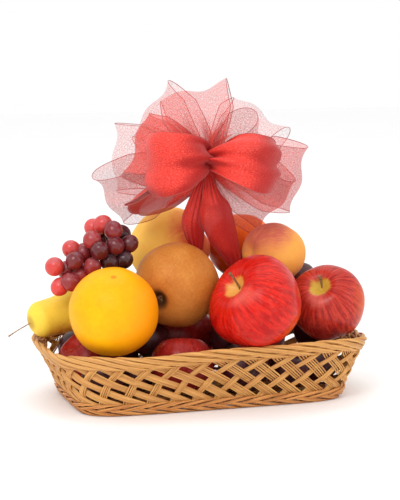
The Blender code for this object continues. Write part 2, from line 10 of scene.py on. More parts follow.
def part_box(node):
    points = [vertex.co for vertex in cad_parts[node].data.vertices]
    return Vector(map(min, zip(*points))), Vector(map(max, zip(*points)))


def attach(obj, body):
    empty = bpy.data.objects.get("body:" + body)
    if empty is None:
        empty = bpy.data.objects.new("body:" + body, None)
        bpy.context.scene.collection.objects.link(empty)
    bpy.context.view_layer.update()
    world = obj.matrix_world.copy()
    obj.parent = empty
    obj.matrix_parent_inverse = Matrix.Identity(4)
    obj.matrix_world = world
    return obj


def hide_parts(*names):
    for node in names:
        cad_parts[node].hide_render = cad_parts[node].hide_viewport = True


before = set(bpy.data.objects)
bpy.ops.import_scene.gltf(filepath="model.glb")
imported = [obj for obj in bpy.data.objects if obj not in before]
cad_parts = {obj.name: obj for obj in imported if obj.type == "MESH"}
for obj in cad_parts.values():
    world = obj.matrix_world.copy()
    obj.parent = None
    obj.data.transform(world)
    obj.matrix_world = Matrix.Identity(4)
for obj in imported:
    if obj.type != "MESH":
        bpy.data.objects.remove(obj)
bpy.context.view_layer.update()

bl_info = {
    "name": "Fruit Gift Basket",
    "version": (1, 0, 0),
    "blender": (4, 5, 0),
    "location": "3D View > Sidebar > Basket",
    "description": "Builds the woven basket, its fruit and its ribbon bow round the packed solids",
    "category": "Object",
}

FOOT_LOW, FOOT_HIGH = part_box("basket_foot")
# The basket's middle on the floor. Every place below is measured from it.
MIDDLE = Vector((0.5 * (FOOT_LOW.x + FOOT_HIGH.x), 0.5 * (FOOT_LOW.y + FOOT_HIGH.y), 0.0))

# The basket's outer outlines: half length, half width, and how square the corners are.
RIM_OUTLINE = (0.1570, 0.0985, 3.3)
FOOT_OUTLINE = (0.1261, 0.0700, 6.0)
RIM_HEIGHT = 0.0613
RIM_END_DROP = 0.0055
RIM_DIP = (0.0035, 0.665, 0.045)
RIM_RISE = (0.0020, 0.870, 0.050)
RIM_DEPTH = 0.0125
FOOT_HEIGHT = 0.0120
BUNDLES = 34
WALL_INSET = -0.0038
STEEP_RUN = 0.031
CROSSING_ROWS = 4
# How the weave leans: its mean, its swing round the basket, and the turn where it leans most.
LEAN = (0.0020, 0.0110, 0.850)

KNOT = Vector((0.0085, -0.0040, 0.2180))
BOW_TURN = math.radians(-17.6)
BOW_TILT = math.radians(8.0)

# The camera at the photograph's angle: how far it stands round to the left, and how high above level.
CAMERA_TURN = math.radians(17.64)
CAMERA_RISE = math.radians(8.24)
CAMERA_DISTANCE = 1.6
CAMERA_LENS = 123.8
CAMERA_AIM = Vector((0.0012, 0.0, 0.1362))
LIGHT_AIM = Vector((0.0, 0.0, 0.12))


def settings():
    return bpy.context.scene.fruit_basket_look


# Helpers for meshes

def link(thing):
    bpy.context.scene.collection.objects.link(thing)
    return thing


def deselect():
    bpy.ops.object.select_all(action="DESELECT")


def select_only(thing):
    deselect()
    thing.select_set(True)
    bpy.context.view_layer.objects.active = thing


def join(things, name):
    """Joins meshes into the first one and names it."""
    deselect()
    for thing in things:
        thing.select_set(True)
    bpy.context.view_layer.objects.active = things[0]
    if len(things) > 1:
        bpy.ops.object.join()
    things[0].name = name
    things[0].data.name = name
    return things[0]


def points_of(mesh):
    spots = np.empty(len(mesh.vertices) * 3)
    mesh.vertices.foreach_get("co", spots)
    return spots.reshape(-1, 3)


def set_points(mesh, spots):
    mesh.vertices.foreach_set("co", np.ascontiguousarray(spots, dtype=float).ravel())
    mesh.update()


def write_values(mesh, name, values):
    """Stores one number or one vector for each point of a mesh."""
    values = np.asarray(values, dtype=float)
    kind = "FLOAT" if values.ndim == 1 else "FLOAT_VECTOR"
    layer = mesh.attributes.new(name, kind, "POINT")
    layer.data.foreach_set("value" if kind == "FLOAT" else "vector", values.ravel())


def dress(thing, look, slot, *nodes):
    """Gives a piece its material, its body and the solids that it stands for; the slot is not used."""
    thing.data.materials.clear()
    thing.data.materials.append(look)
    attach(thing, "root")
    if nodes:
        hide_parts(*nodes)
    return thing


def round_strands(name, paths, radius, sides_step=1, thickness=None):
    """Turns paths into one mesh of round strands, with each strand's tone and the length along it."""
    curve = bpy.data.curves.new(name, "CURVE")
    curve.dimensions = "3D"
    curve.bevel_depth = radius
    curve.bevel_resolution = sides_step
    curve.use_fill_caps = True
    for number, path in enumerate(paths):
        spline = curve.splines.new("POLY")
        spline.points.add(len(path) - 1)
        spline.points.foreach_set("co", np.c_[path, np.ones(len(path))].ravel())
        if thickness is not None:
            spline.points.foreach_set("radius", thickness[number])
    thing = link(bpy.data.objects.new(name, curve))
    select_only(thing)
    bpy.ops.object.convert(target="MESH")
    mesh = thing.data
    sides = 4 + 2 * sides_step
    tones, along = [], []
    for number, path in enumerate(paths):
        steps = np.linalg.norm(np.diff(path, axis=0), axis=1)
        length = np.concatenate([[0.0], np.cumsum(steps)])
        tone = ((number * 0.6180339 + 0.37) % 1.0)
        tones.append(np.full(len(path) * sides + 2 * sides, tone))
        along.append(np.concatenate([np.repeat(length[::-1], sides), np.full(2 * sides, length[-1])]))
    write_values(mesh, "strand_tone", np.concatenate(tones))
    write_values(mesh, "strand_length", np.concatenate(along))
    bpy.ops.object.mode_set(mode="EDIT")
    bpy.ops.mesh.select_all(action="SELECT")
    bpy.ops.mesh.remove_doubles(threshold=0.000002)
    bpy.ops.mesh.normals_make_consistent(inside=False)
    bpy.ops.object.mode_set(mode="OBJECT")
    bpy.ops.object.shade_smooth_by_angle(angle=math.radians(60.0))
    return thing


# Helpers for materials

def node(tree, kind, sockets=None, **values):
    """Adds a node; each socket gets a value, or a link from another node's output."""
    made = tree.nodes.new(kind)
    for name, value in values.items():
        setattr(made, name, value)
    for key, value in (sockets or {}).items():
        if isinstance(value, bpy.types.NodeSocket):
            tree.links.new(value, made.inputs[key])
        else:
            made.inputs[key].default_value = value
    return made


def calculate(tree, operation, first, second=0.0, third=0.0):
    return node(tree, "ShaderNodeMath", {0: first, 1: second, 2: third}, operation=operation).outputs[0]


def mix_colours(tree, factor, first, second, mode="MIX"):
    mixed = node(tree, "ShaderNodeMix", {0: factor, 6: first, 7: second}, data_type="RGBA", blend_type=mode)
    return mixed.outputs[2]


def step_between(tree, value, low, high, out_low=0.0, out_high=1.0):
    """A soft step from one value to another."""
    sockets = {"Value": value, "From Min": low, "From Max": high, "To Min": out_low, "To Max": out_high}
    return node(tree, "ShaderNodeMapRange", sockets, interpolation_type="SMOOTHSTEP").outputs["Result"]


def cloud(tree, place, scale, detail=3.0, roughness=0.55, stretch=None):
    if stretch is not None:
        place = node(tree, "ShaderNodeMapping", {"Vector": place, "Scale": stretch}).outputs[0]
    sockets = {"Vector": place, "Scale": scale, "Detail": detail, "Roughness": roughness}
    return node(tree, "ShaderNodeTexNoise", sockets).outputs["Fac"]


def colour(rgb):
    return (*rgb, 1.0)


def from_screen(red, green, blue):
    """A linear colour from its 0 to 255 screen values."""
    def linear(value):
        value /= 255.0
        return value / 12.92 if value <= 0.04045 else ((value + 0.055) / 1.055) ** 2.4
    return (linear(red), linear(green), linear(blue))


def new_material(name, **values):
    """A material with one Principled shader and its plain numbers set."""
    look = bpy.data.materials.new(name)
    look.use_nodes = True
    tree = look.node_tree
    shader = tree.nodes["Principled BSDF"]
    for key, value in values.items():
        shader.inputs[key.replace("_", " ")].default_value = value
    return look, tree, shader


def new_group(name, inputs, outputs):
    """A shader node group with named sockets; the kinds are FLOAT, VECTOR or COLOR."""
    group = bpy.data.node_groups.new(name, "ShaderNodeTree")
    kinds = {"FLOAT": "NodeSocketFloat", "VECTOR": "NodeSocketVector", "COLOR": "NodeSocketColor"}
    for title, kind in inputs:
        group.interface.new_socket(title, in_out="INPUT", socket_type=kinds[kind])
    for title, kind in outputs:
        group.interface.new_socket(title, in_out="OUTPUT", socket_type=kinds[kind])
    start = group.nodes.new("NodeGroupInput")
    end = group.nodes.new("NodeGroupOutput")
    return group, start.outputs, end.inputs


def place_group(tree, group, sockets):
    """Places a node group with its own values and gives back its outputs."""
    return node(tree, "ShaderNodeGroup", sockets, node_tree=group).outputs


def attribute(tree, name, output="Vector"):
    return node(tree, "ShaderNodeAttribute", attribute_name=name, attribute_type="GEOMETRY").outputs[output]


def direction(tree, vector):
    return node(tree, "ShaderNodeVectorMath", {0: vector}, operation="NORMALIZE").outputs["Vector"]


def tinted(tree, base, mask, amount, tint):
    """A base colour with a tint over it where the mask is, up to an amount."""
    return mix_colours(tree, calculate(tree, "MULTIPLY", mask, amount), base, colour(tint))


def bump(tree, height, strength, distance):
    sockets = {"Height": height, "Strength": strength, "Distance": distance}
    return node(tree, "ShaderNodeBump", sockets).outputs["Normal"]


def shared_group(name, make):
    found = bpy.data.node_groups.get(name)
    return found if found is not None else make(name)


def make_speckle(name):
    """Small round dots of uneven size, such as the pores of a fruit skin."""
    group, given, out = new_group(name, [("Place", "VECTOR"), ("Scale", "FLOAT"), ("Size", "FLOAT")],
                                  [("Dots", "FLOAT")])
    cells = node(group, "ShaderNodeTexVoronoi", {"Vector": given["Place"], "Scale": given["Scale"]})
    size = calculate(group, "MULTIPLY", given["Size"], cells.outputs["Color"])
    edge = calculate(group, "ADD", size, 0.03)
    group.links.new(step_between(group, cells.outputs["Distance"], edge, 0.0), out["Dots"])
    return group


def make_side_blush(name):
    """A soft cloud of colour on the side of a fruit that faces one way."""
    group, given, out = new_group(
        name, [("Skin", "VECTOR"), ("Towards", "VECTOR"), ("Start", "FLOAT"), ("End", "FLOAT"),
               ("Ragged", "FLOAT")], [("Mask", "FLOAT")])
    way = direction(group, given["Skin"])
    ends = {0: way, 1: direction(group, given["Towards"])}
    facing = node(group, "ShaderNodeVectorMath", ends, operation="DOT_PRODUCT").outputs["Value"]
    ragged = calculate(group, "SUBTRACT", cloud(group, way, 2.2, 4.0), 0.5)
    value = calculate(group, "MULTIPLY_ADD", ragged, given["Ragged"], facing)
    group.links.new(step_between(group, value, given["Start"], given["End"]), out["Mask"])
    return group


def make_meridians(name):
    """Fine streaks that run from a fruit's stem to its other end."""
    group, given, out = new_group(name, [("Skin", "VECTOR"), ("Count", "FLOAT")], [("Streaks", "FLOAT")])
    way = direction(group, given["Skin"])
    parts = node(group, "ShaderNodeSeparateXYZ", {0: way})
    ring = calculate(group, "SQRT", calculate(
        group, "SUBTRACT", 1.0001, calculate(group, "MULTIPLY", parts.outputs["Z"], parts.outputs["Z"])))
    across_x = calculate(group, "DIVIDE", parts.outputs["X"], ring)
    across_y = calculate(group, "DIVIDE", parts.outputs["Y"], ring)
    height = calculate(group, "MULTIPLY", parts.outputs["Z"], 0.22)
    spot = node(group, "ShaderNodeCombineXYZ", {0: across_x, 1: across_y, 2: height}).outputs[0]
    group.links.new(cloud(group, spot, given["Count"], 5.0, 0.65), out["Streaks"])
    return group


def make_mottle(name):
    """Uneven colour at two sizes at once, from 0 to 1."""
    group, given, out = new_group(name, [("Place", "VECTOR"), ("Large", "FLOAT"), ("Fine", "FLOAT")],
                                  [("Value", "FLOAT")])
    large = cloud(group, given["Place"], given["Large"], 2.0)
    fine = cloud(group, given["Place"], given["Fine"], 4.0, 0.6)
    total = calculate(group, "MULTIPLY_ADD", fine, 0.45, calculate(group, "MULTIPLY", large, 0.75))
    group.links.new(step_between(group, total, 0.35, 0.85), out["Value"])
    return group


def speckle_on(tree, skin, scale, size):
    sockets = {"Place": skin, "Scale": scale, "Size": size}
    return place_group(tree, shared_group("speckle", make_speckle), sockets)["Dots"]


def blush_on(tree, skin, towards, start, end, ragged):
    sockets = {"Skin": skin, "Towards": towards, "Start": start, "End": end, "Ragged": ragged}
    return place_group(tree, shared_group("side_blush", make_side_blush), sockets)["Mask"]


def meridians_on(tree, skin, count):
    sockets = {"Skin": skin, "Count": count}
    return place_group(tree, shared_group("meridians", make_meridians), sockets)["Streaks"]


def mottle_on(tree, skin, large, fine):
    sockets = {"Place": skin, "Large": large, "Fine": fine}
    return place_group(tree, shared_group("mottle", make_mottle), sockets)["Value"]


def finish_skin(tree, shader, base, height, strength, depth):
    """Joins a skin's colour and its relief to the shader."""
    tree.links.new(base, shader.inputs["Base Color"])
    tree.links.new(bump(tree, height, strength, depth), shader.inputs["Normal"])


# The wicker basket

def outline_spots(share, angles):
    """Points on the outline at a share of the wall's height; both may be arrays."""
    half_length, half_width, power = (
        low + (high - low) * share for low, high in zip(FOOT_OUTLINE, RIM_OUTLINE))
    cosine, sine = np.cos(angles), np.sin(angles)
    reach = (np.abs(cosine) ** power + np.abs(sine) ** power) ** (-1.0 / power)
    return half_length * reach * cosine, half_width * reach * sine


def even_turns(samples=4096):
    """Angles at even steps of length round the wall's middle outline, and that outline's length."""
    angles = np.linspace(0.0, 2.0 * math.pi, samples + 1)
    x, y = outline_spots(0.5, angles)
    lengths = np.concatenate([[0.0], np.cumsum(np.hypot(np.diff(x), np.diff(y)))])
    return angles, lengths / lengths[-1], float(lengths[-1])


TABLE_ANGLES, TABLE_TURNS, GIRTH = even_turns()
BOTH_RUNS = CROSSING_ROWS / BUNDLES
PITCH = 1.0 / BUNDLES


def wall_spots(turns, heights, outward):
    """Points on the flared wall: turns run once round from +X by +Y, the rest is in metres."""
    turns, heights, outward = np.broadcast_arrays(turns, heights, outward)
    share = heights / RIM_HEIGHT
    step = 0.002

    def ring(at):
        return outline_spots(share, np.interp(at % 1.0, TABLE_TURNS, TABLE_ANGLES))

    x, y = ring(turns)
    x_ahead, y_ahead = ring(turns + step)
    x_behind, y_behind = ring(turns - step)
    along_x, along_y = x_ahead - x_behind, y_ahead - y_behind
    size = np.hypot(along_x, along_y)
    x = x + along_y / size * outward
    y = y - along_x / size * outward
    return np.stack([x + MIDDLE.x, y + MIDDLE.y, heights], axis=-1)


def rim_top(turns):
    """The rim's top: lower at the two ends, and uneven along the front as woven by hand."""
    x, _ = outline_spots(1.0, np.interp(turns % 1.0, TABLE_TURNS, TABLE_ANGLES))
    top = RIM_HEIGHT - RIM_END_DROP * np.minimum(np.abs(x) / RIM_OUTLINE[0], 1.0) ** 3
    for sign, (amount, place, spread) in ((-1.0, RIM_DIP), (1.0, RIM_RISE)):
        top = top + sign * amount * np.exp(-(((turns % 1.0) - place) / spread) ** 2)
    return top


def leaned(turns, share):
    """Turns moved sideways with height, so that the weave slants more in some places."""
    mean, swing, most = LEAN
    lean = mean + swing * np.cos(4.0 * math.pi * (turns - most))
    return turns + lean / GIRTH * (share - 0.5)


def wall_paths(look, rng):
    """The open wall: steep bundles that climb to the right and shallow ones that climb to the left."""
    paths, widths = [], []
    low, high = FOOT_HEIGHT, RIM_HEIGHT - RIM_DEPTH
    steep_turn = STEEP_RUN / GIRTH
    shallow_turn = BOTH_RUNS - steep_turn
    share = np.linspace(-0.13, 1.12, 46)
    inside = np.clip(share, 0.0, 1.0)
    for slant, run, reeds in ((1.0, steep_turn, look.reeds_in_bundle),
                              (-1.0, shallow_turn, look.reeds_in_bundle + 1)):
        slope = math.atan2(high - low, run * GIRTH)
        reed_step = look.reed_diameter * 0.98 / math.sin(slope) / GIRTH
        bend = 0.20 * inside * (1.0 - inside)
        progress = share + (bend if slant < 0.0 else -bend * shallow_turn / steep_turn)
        weave = slant * np.cos(math.pi * (share * CROSSING_ROWS - 3.5)) * look.reed_diameter * 0.72
        for bundle in range(BUNDLES):
            middle = (bundle + (0.0 if slant > 0.0 else 0.5)) * PITCH + rng.uniform(-0.0005, 0.0005)
            twist = rng.uniform(-0.12, 0.12)
            for reed in range(reeds):
                side = reed - 0.5 * (reeds - 1)
                wander = rng.uniform(-0.0003, 0.0003) / GIRTH
                spread = 1.0 + twist * (share - 0.5)
                turns = middle + slant * run * (progress - 0.5) + side * reed_step * spread + wander
                turns = leaned(turns, share)
                top = rim_top(turns) - RIM_DEPTH
                heights = low + (top - low) * share
                arch = -0.07 * look.reed_diameter * side * side
                out = WALL_INSET + weave + arch + rng.uniform(-0.0001, 0.0001)
                paths.append(wall_spots(turns, heights, out))
                widths.append(np.full(len(share), rng.uniform(0.92, 1.04)))
    return paths, widths


def section_walk(corners, distance):
    """Inset and height at a distance along a border's section, given by its corner points."""
    corners = np.array(corners)
    lengths = np.concatenate([[0.0], np.cumsum(np.linalg.norm(np.diff(corners, axis=0), axis=1))])
    inset = np.interp(distance, lengths, corners[:, 0])
    drop = np.interp(distance, lengths, corners[:, 1])
    return inset, drop, lengths[-1]


def smooth_ends(values, times=3):
    """Rounds the corners of a path without moving its ends."""
    for _ in range(times):
        values[1:-1] = 0.25 * values[:-2] + 0.5 * values[1:-1] + 0.25 * values[2:]
    return values


# The rim's section from low inside, over the top and down the outside: inset and drop below the top.
RIM_WALK = ((0.0076, 0.0118), (0.0077, 0.0030), (0.0066, 0.0011), (0.0028, 0.0009), (0.0012, 0.0024),
            (0.0008, 0.0045), (0.0009, 0.0100), (0.0017, 0.0119), (0.0040, 0.0122))
# Thick reeds that run all the way round inside the rim: inset and drop below the top.
RIM_CORES = ((0.0042, 0.0030), (0.0032, 0.0056), (0.0032, 0.0084), (0.0058, 0.0052), (0.0058, 0.0084))
# How far apart the rim's reeds lie along its section.
RIM_REED_STEP = 0.00104
# The foot border's two layers, from its middle line: inset and height.
FOOT_UPPER = ((0.0034, 0.0040), (0.0010, 0.0056), (0.0008, 0.0090), (0.0018, 0.0108), (0.0062, 0.0112))
FOOT_LOWER = ((0.0032, 0.0074), (0.0010, 0.0062), (0.0008, 0.0028), (0.0018, 0.0011), (0.0072, 0.0008))


def rim_paths(look, rng):
    """Each bundle rolls over the rim from inside and then sweeps down to the right along its face."""
    paths, widths = [], []
    share = np.linspace(0.0, 1.0, 64)
    start = 0.5 * STEEP_RUN / GIRTH
    run = look.rim_sweep * PITCH
    over = 0.34
    length = section_walk(RIM_WALK, 0.0)[2]
    for bundle in range(BUNDLES):
        lift = rng.uniform(-0.0002, 0.0003)
        for reed in range(look.reeds_in_bundle + 1):
            side = reed - 0.5 * look.reeds_in_bundle
            turns = leaned(bundle * PITCH + start, 1.0) + run * (share - 0.04) + side * 0.08 * PITCH
            walk = np.interp(share, (0.0, over, 1.0), (0.0, 0.48 * length, length))
            apart = side * RIM_REED_STEP * np.interp(share, (0.0, 0.1, 1.0), (0.0, 1.0, 1.0))
            walk = np.clip(walk + apart, 0.0, length)
            inset, drop, _ = section_walk(RIM_WALK, walk)
            sway = 0.0003 * np.sin(math.tau * share * 2.0 + rng.uniform(0.0, math.tau))
            depth = np.interp(share, (0.0, over, 0.45, 1.0), (0.0, -0.0002, 0.0000, 0.0006)) - lift
            heights = smooth_ends(rim_top(turns) - drop + sway)
            paths.append(wall_spots(turns, heights, -smooth_ends(inset + depth)))
            widths.append(np.full(len(share), rng.uniform(0.92, 1.06)))
    around = np.linspace(0.0, 1.0, 241)
    for inset, drop in RIM_CORES:
        sway = 0.0002 * np.sin(math.tau * (BUNDLES * around + rng.uniform(0.0, 1.0)))
        paths.append(wall_spots(around, rim_top(around) - drop + sway, -inset))
        widths.append(np.full(len(around), 2.1))
    return paths, widths


def foot_paths(look, rng):
    """The plaited foot border: upper strands climb to the right and lower ones fall to the right."""
    paths, widths = [], []
    share = np.linspace(0.0, 1.0, 36)
    for corners, shift in ((FOOT_UPPER, 0.0), (FOOT_LOWER, 0.5)):
        length = section_walk(corners, 0.0)[2]
        for bundle in range(BUNDLES):
            for reed in range(3):
                side = reed - 1.0
                turns = (bundle + shift) * PITCH + 2.6 * PITCH * share + side * 0.17 * PITCH
                walk = np.clip(share ** 0.9 * length + rng.uniform(-0.0002, 0.0002), 0.0, length)
                inset, heights, _ = section_walk(corners, walk)
                heights = smooth_ends(heights) + rng.uniform(-0.0001, 0.0001)
                heights = np.maximum(heights, 0.5 * look.reed_diameter * 1.05)
                paths.append(wall_spots(turns, heights, -smooth_ends(inset)))
                widths.append(np.full(len(share), rng.uniform(0.94, 1.04)))
    return paths, widths


def floor_paths(look, rng):
    """The woven floor inside the foot border: long bundles over and under short ones."""
    paths, widths = [], []
    low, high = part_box("basket_floor")
    half_length, half_width = 0.5 * (high.x - low.x) - 0.0008, 0.5 * (high.y - low.y) - 0.0008
    power = FOOT_OUTLINE[2]
    level = 0.5 * (low.z + high.z)
    step = 0.0136
    for along_x, reach, width in ((True, half_width, half_length), (False, half_length, half_width)):
        count = int(2.0 * reach / step)
        for bundle in range(count):
            middle = (bundle - 0.5 * (count - 1)) * step
            for reed in range(3):
                across = middle + (reed - 1.0) * 0.0030
                end = width * (1.0 - min(abs(across) / reach, 0.99) ** power) ** (1.0 / power)
                spots = np.linspace(-end, end, 40)
                sign = (1.0 if along_x else -1.0) * (-1.0 if bundle % 2 else 1.0)
                lift = level + sign * 0.00125 * np.cos(math.pi * spots / step)
                side = np.full_like(spots, across + rng.uniform(-0.0002, 0.0002))
                pair = (spots, side) if along_x else (side, spots)
                paths.append(np.stack([pair[0] + MIDDLE.x, pair[1] + MIDDLE.y, lift], axis=-1))
                widths.append(np.full(len(spots), 1.25))
    return paths, widths


def reed_grain(name):
    """Lengthwise grain and the tone of one reed, from its own number and the length along it."""
    group, given, out = new_group(name, [("Fineness", "FLOAT")], [("Tone", "FLOAT"), ("Grain", "FLOAT")])
    tone = attribute(group, "strand_tone", "Fac")
    along = attribute(group, "strand_length", "Fac")
    object_place = node(group, "ShaderNodeTexCoord").outputs["Object"]
    own = calculate(group, "MULTIPLY", tone, 37.0)
    lengthwise = calculate(group, "MULTIPLY", along, 22.0)
    spot = node(group, "ShaderNodeCombineXYZ", {0: own, 1: lengthwise}).outputs[0]
    patches = cloud(group, spot, 1.0, 3.0)
    fibres = cloud(group, object_place, given["Fineness"], 3.0)
    value = calculate(group, "MULTIPLY_ADD", patches, 0.7, calculate(group, "MULTIPLY", tone, 0.45))
    group.links.new(step_between(group, value, 0.25, 0.95), out["Tone"])
    group.links.new(fibres, out["Grain"])
    return group


def wicker_material(name, dark, light, roughness=0.52):
    look, tree, shader = new_material(name, Roughness=roughness, Coat_Roughness=0.35, Specular_IOR_Level=0.45)
    grain = place_group(tree, shared_group("reed_grain", reed_grain), {"Fineness": 900.0})
    base = mix_colours(tree, grain["Tone"], colour(dark), colour(light))
    streak = step_between(tree, grain["Grain"], 0.42, 0.70)
    base = mix_colours(tree, calculate(tree, "MULTIPLY", streak, 0.22), base, colour(dark))
    tree.links.new(base, shader.inputs["Base Color"])
    tree.links.new(step_between(tree, grain["Grain"], 0.3, 0.7, roughness - 0.1, roughness + 0.12),
                   shader.inputs["Roughness"])
    tree.links.new(bump(tree, grain["Grain"], 0.35, 0.0002), shader.inputs["Normal"])
    return look


def build_basket(look):
    rng = random.Random(11)
    radius = 0.5 * look.reed_diameter
    wall = wicker_material("wicker_wall", look.reed_dark, look.reed_light)
    rim = wicker_material("wicker_rim", look.reed_dark, look.reed_light, 0.48)
    foot = wicker_material("wicker_foot", look.foot_dark, look.foot_light, 0.58)
    for name, make, material, scale in (
            ("basket_wall_weave", wall_paths, wall, 1.0), ("basket_rim_weave", rim_paths, rim, 1.04),
            ("basket_foot_weave", foot_paths, foot, 1.05), ("basket_floor_weave", floor_paths, foot, 1.0)):
        paths, widths = make(look, rng)
        piece = round_strands(name, paths, radius * scale, 1, widths)
        dress(piece, material, "wicker", name.removesuffix("_weave"))


# The fruit

# Each fruit: node, kind, centre from the basket's middle, width, height, and the way its stem end points.
FRUITS = (
    ("orange_front", "orange", (-0.0950, -0.0482, 0.0915), 0.0800, 0.0790, (-0.10, -0.42, 0.90)),
    ("orange_back", "orange", (0.0627, 0.0618, 0.1291), 0.0650, 0.0635, (0.10, 0.20, 0.97)),
    ("russet_pear", "russet", (-0.0248, -0.0115, 0.1064), 0.0790, 0.0765, (0.71, 0.65, 0.26)),
    ("apple_front", "apple", (0.0325, -0.0690, 0.0958), 0.0865, 0.0780, (-0.77, -0.24, 0.59)),
    ("apple_right", "apple", (0.1137, -0.0392, 0.0865), 0.0700, 0.0720, (-0.49, -0.55, 0.67)),
    ("apple_low_left", "apple", (-0.1045, 0.0050, 0.0375), 0.0600, 0.0560, (-0.60, -0.10, 0.79)),
    ("apple_low_front", "apple", (-0.0300, -0.0450, 0.0385), 0.0570, 0.0550, (0.10, 0.30, 0.95)),
    ("apple_low_centre", "apple", (-0.0105, 0.0425, 0.0475), 0.0760, 0.0720, (0.30, 0.60, 0.74)),
    ("apple_low_back", "apple", (0.0650, 0.0420, 0.0438), 0.0715, 0.0660, (0.10, 0.75, 0.65)),
    ("peach_right", "peach", (0.0725, -0.0050, 0.1310), 0.0570, 0.0620, (-0.94, -0.29, 0.19)),
    ("peach_back", "peach", (-0.0105, 0.0612, 0.1305), 0.0760, 0.0800, (0.80, -0.17, 0.57)),
    ("plum_right", "plum", (0.1180, 0.0060, 0.0530), 0.0395, 0.0400, (0.20, 0.10, 0.97)),
    ("plum_high", "plum", (0.1108, 0.0290, 0.0985), 0.0340, 0.0360, (0.30, 0.20, 0.93)),
    ("plum_back_right", "plum", (0.1180, 0.0460, 0.0600), 0.0380, 0.0390, (0.10, 0.40, 0.91)),
    ("plum_back_high", "plum", (0.0950, 0.0650, 0.0880), 0.0370, 0.0380, (0.40, 0.40, 0.82)),
    ("plum_back_middle", "plum", (0.0260, 0.0705, 0.0850), 0.0370, 0.0370, (-0.30, 0.70, 0.65)),
    ("plum_back_left", "plum", (-0.0440, 0.0740, 0.0840), 0.0360, 0.0370, (0.20, 0.80, 0.57)),
    ("plum_low_left", "plum", (-0.1042, -0.0442, 0.0310), 0.0390, 0.0400, (0.50, 0.10, 0.86)),
    ("plum_low_front", "plum", (-0.0670, -0.0215, 0.0250), 0.0320, 0.0330, (0.10, 0.50, 0.86)),
    ("plum_low_middle", "plum", (0.0300, -0.0420, 0.0320), 0.0470, 0.0475, (0.60, 0.20, 0.77)),
    ("plum_low_right", "plum", (0.0750, -0.0415, 0.0285), 0.0380, 0.0390, (0.10, -0.50, 0.86)),
    ("plum_low_end", "plum", (0.1110, -0.0260, 0.0290), 0.0370, 0.0380, (-0.50, 0.10, 0.86)),
    ("plum_low_back", "plum", (-0.0640, 0.0500, 0.0280), 0.0380, 0.0390, (0.20, 0.50, 0.84)),
    ("plum_low_corner", "plum", (-0.1048, 0.0575, 0.0390), 0.0330, 0.0340, (-0.40, 0.50, 0.77)),
    ("plum_dark_left", "plum", (-0.0477, 0.0002, 0.0552), 0.0350, 0.0350, (-0.10, -0.40, 0.91)),
    ("plum_dark_right", "plum", (0.0274, -0.0040, 0.0530), 0.0350, 0.0360, (0.20, -0.40, 0.89)),
    ("plum_middle", "plum", (0.0680, -0.0070, 0.0795), 0.0415, 0.0420, (0.40, -0.40, 0.82)),
)
# Each kind: top dip and its spread, bottom dip and its spread, shoulder, lobes, unevenness, fineness.
KINDS = {
    "orange": (0.055, 0.20, 0.03, 0.35, 0.00, 0.000, 0.010, 6),
    "russet": (0.140, 0.42, 0.23, 0.26, 0.00, 0.004, 0.014, 6),
    "apple": (0.400, 0.36, 0.24, 0.38, 0.10, 0.016, 0.016, 6),
    "peach": (0.180, 0.34, 0.04, 0.42, 0.02, 0.000, 0.012, 6),
    "plum": (0.080, 0.30, 0.02, 0.42, 0.00, 0.000, 0.012, 5),
}
APPLE_STEMS = {"apple_front": (0.0215, (-0.36, -0.18, 1.00)), "apple_right": (0.0150, (-0.09, 0.27, 1.45))}
STEM_SINK = 0.0030
PEAR_TIP = Vector((-0.1555, 0.0240, 0.0720))
PEAR_BASE = Vector((-0.0554, 0.0480, 0.0910))
PEAR_WIDTH = 0.0565
PEAR_NECK = 0.0340
PEAR_TIP_ROUND = 0.0120
PEAR_BASE_ROUND = 0.0340
PEAR_SWELL = (0.024, 0.072)
PEAR_STEM_END = Vector((-0.1767, 0.0200, 0.0611))


def upright_to(axis, where, spin=0.0):
    """The placing of a fruit modelled about Z, so that its stem end points along the axis."""
    turn = Vector((0.0, 0.0, 1.0)).rotation_difference(Vector(axis).normalized())
    return Matrix.Translation(Vector(where)) @ turn.to_matrix().to_4x4() @ Matrix.Rotation(spin, 4, "Z")


def seen_side(placing, right, up, forward):
    """A fixed direction, named as the photograph sees it, in the fruit's own frame."""
    axes = (Vector((math.cos(CAMERA_TURN), -math.sin(CAMERA_TURN), 0.0)), Vector((0.0, 0.0, 1.0)),
            Vector((-math.sin(CAMERA_TURN), -math.cos(CAMERA_TURN), 0.0)))
    way = axes[0] * right + axes[1] * up + axes[2] * forward
    return tuple(placing.to_3x3().transposed() @ way)


# The ends of a fruit in its own frame.
STEM_END = (0.0, 0.0, 1.0)
FLOWER_END = (0.0, 0.0, -1.0)


def start_ball(name, fineness):
    """A round start for a fruit, unit radius at the origin."""
    deselect()
    bpy.ops.mesh.primitive_ico_sphere_add(subdivisions=fineness, radius=1.0, location=(0.0, 0.0, 0.0))
    ball = bpy.context.active_object
    ball.name = name
    ball.data.name = name
    return ball


def shape_fruit(ball, profile, lobes=0.0, uneven=0.0, cleft=0.0, seed=0.0):
    """Moves a ball's points to a fruit's profile, with gentle lobes, unevenness and a cleft."""
    spots = points_of(ball.data)
    polar = np.arccos(np.clip(spots[:, 2], -1.0, 1.0))
    turn = np.arctan2(spots[:, 1], spots[:, 0])
    radius, height = profile(polar)
    low_half = 0.5 - 0.5 * np.cos(polar)
    radius = radius * (1.0 + lobes * np.cos(5.0 * turn + seed) * (0.35 + 0.65 * low_half))
    bumps = np.array([noise.noise(Vector(spot) * 1.6 + Vector((seed, 3.1, 7.7))) for spot in spots])
    scale = 1.0 + uneven * bumps * 2.0
    groove = np.exp(-(turn / 0.16) ** 2) * np.sin(polar) * (0.35 + 0.65 * np.cos(0.5 * polar) ** 2)
    scale = scale - cleft * groove
    shaped = np.stack([radius * np.cos(turn) * scale, radius * np.sin(turn) * scale, height * scale], axis=-1)
    return shaped


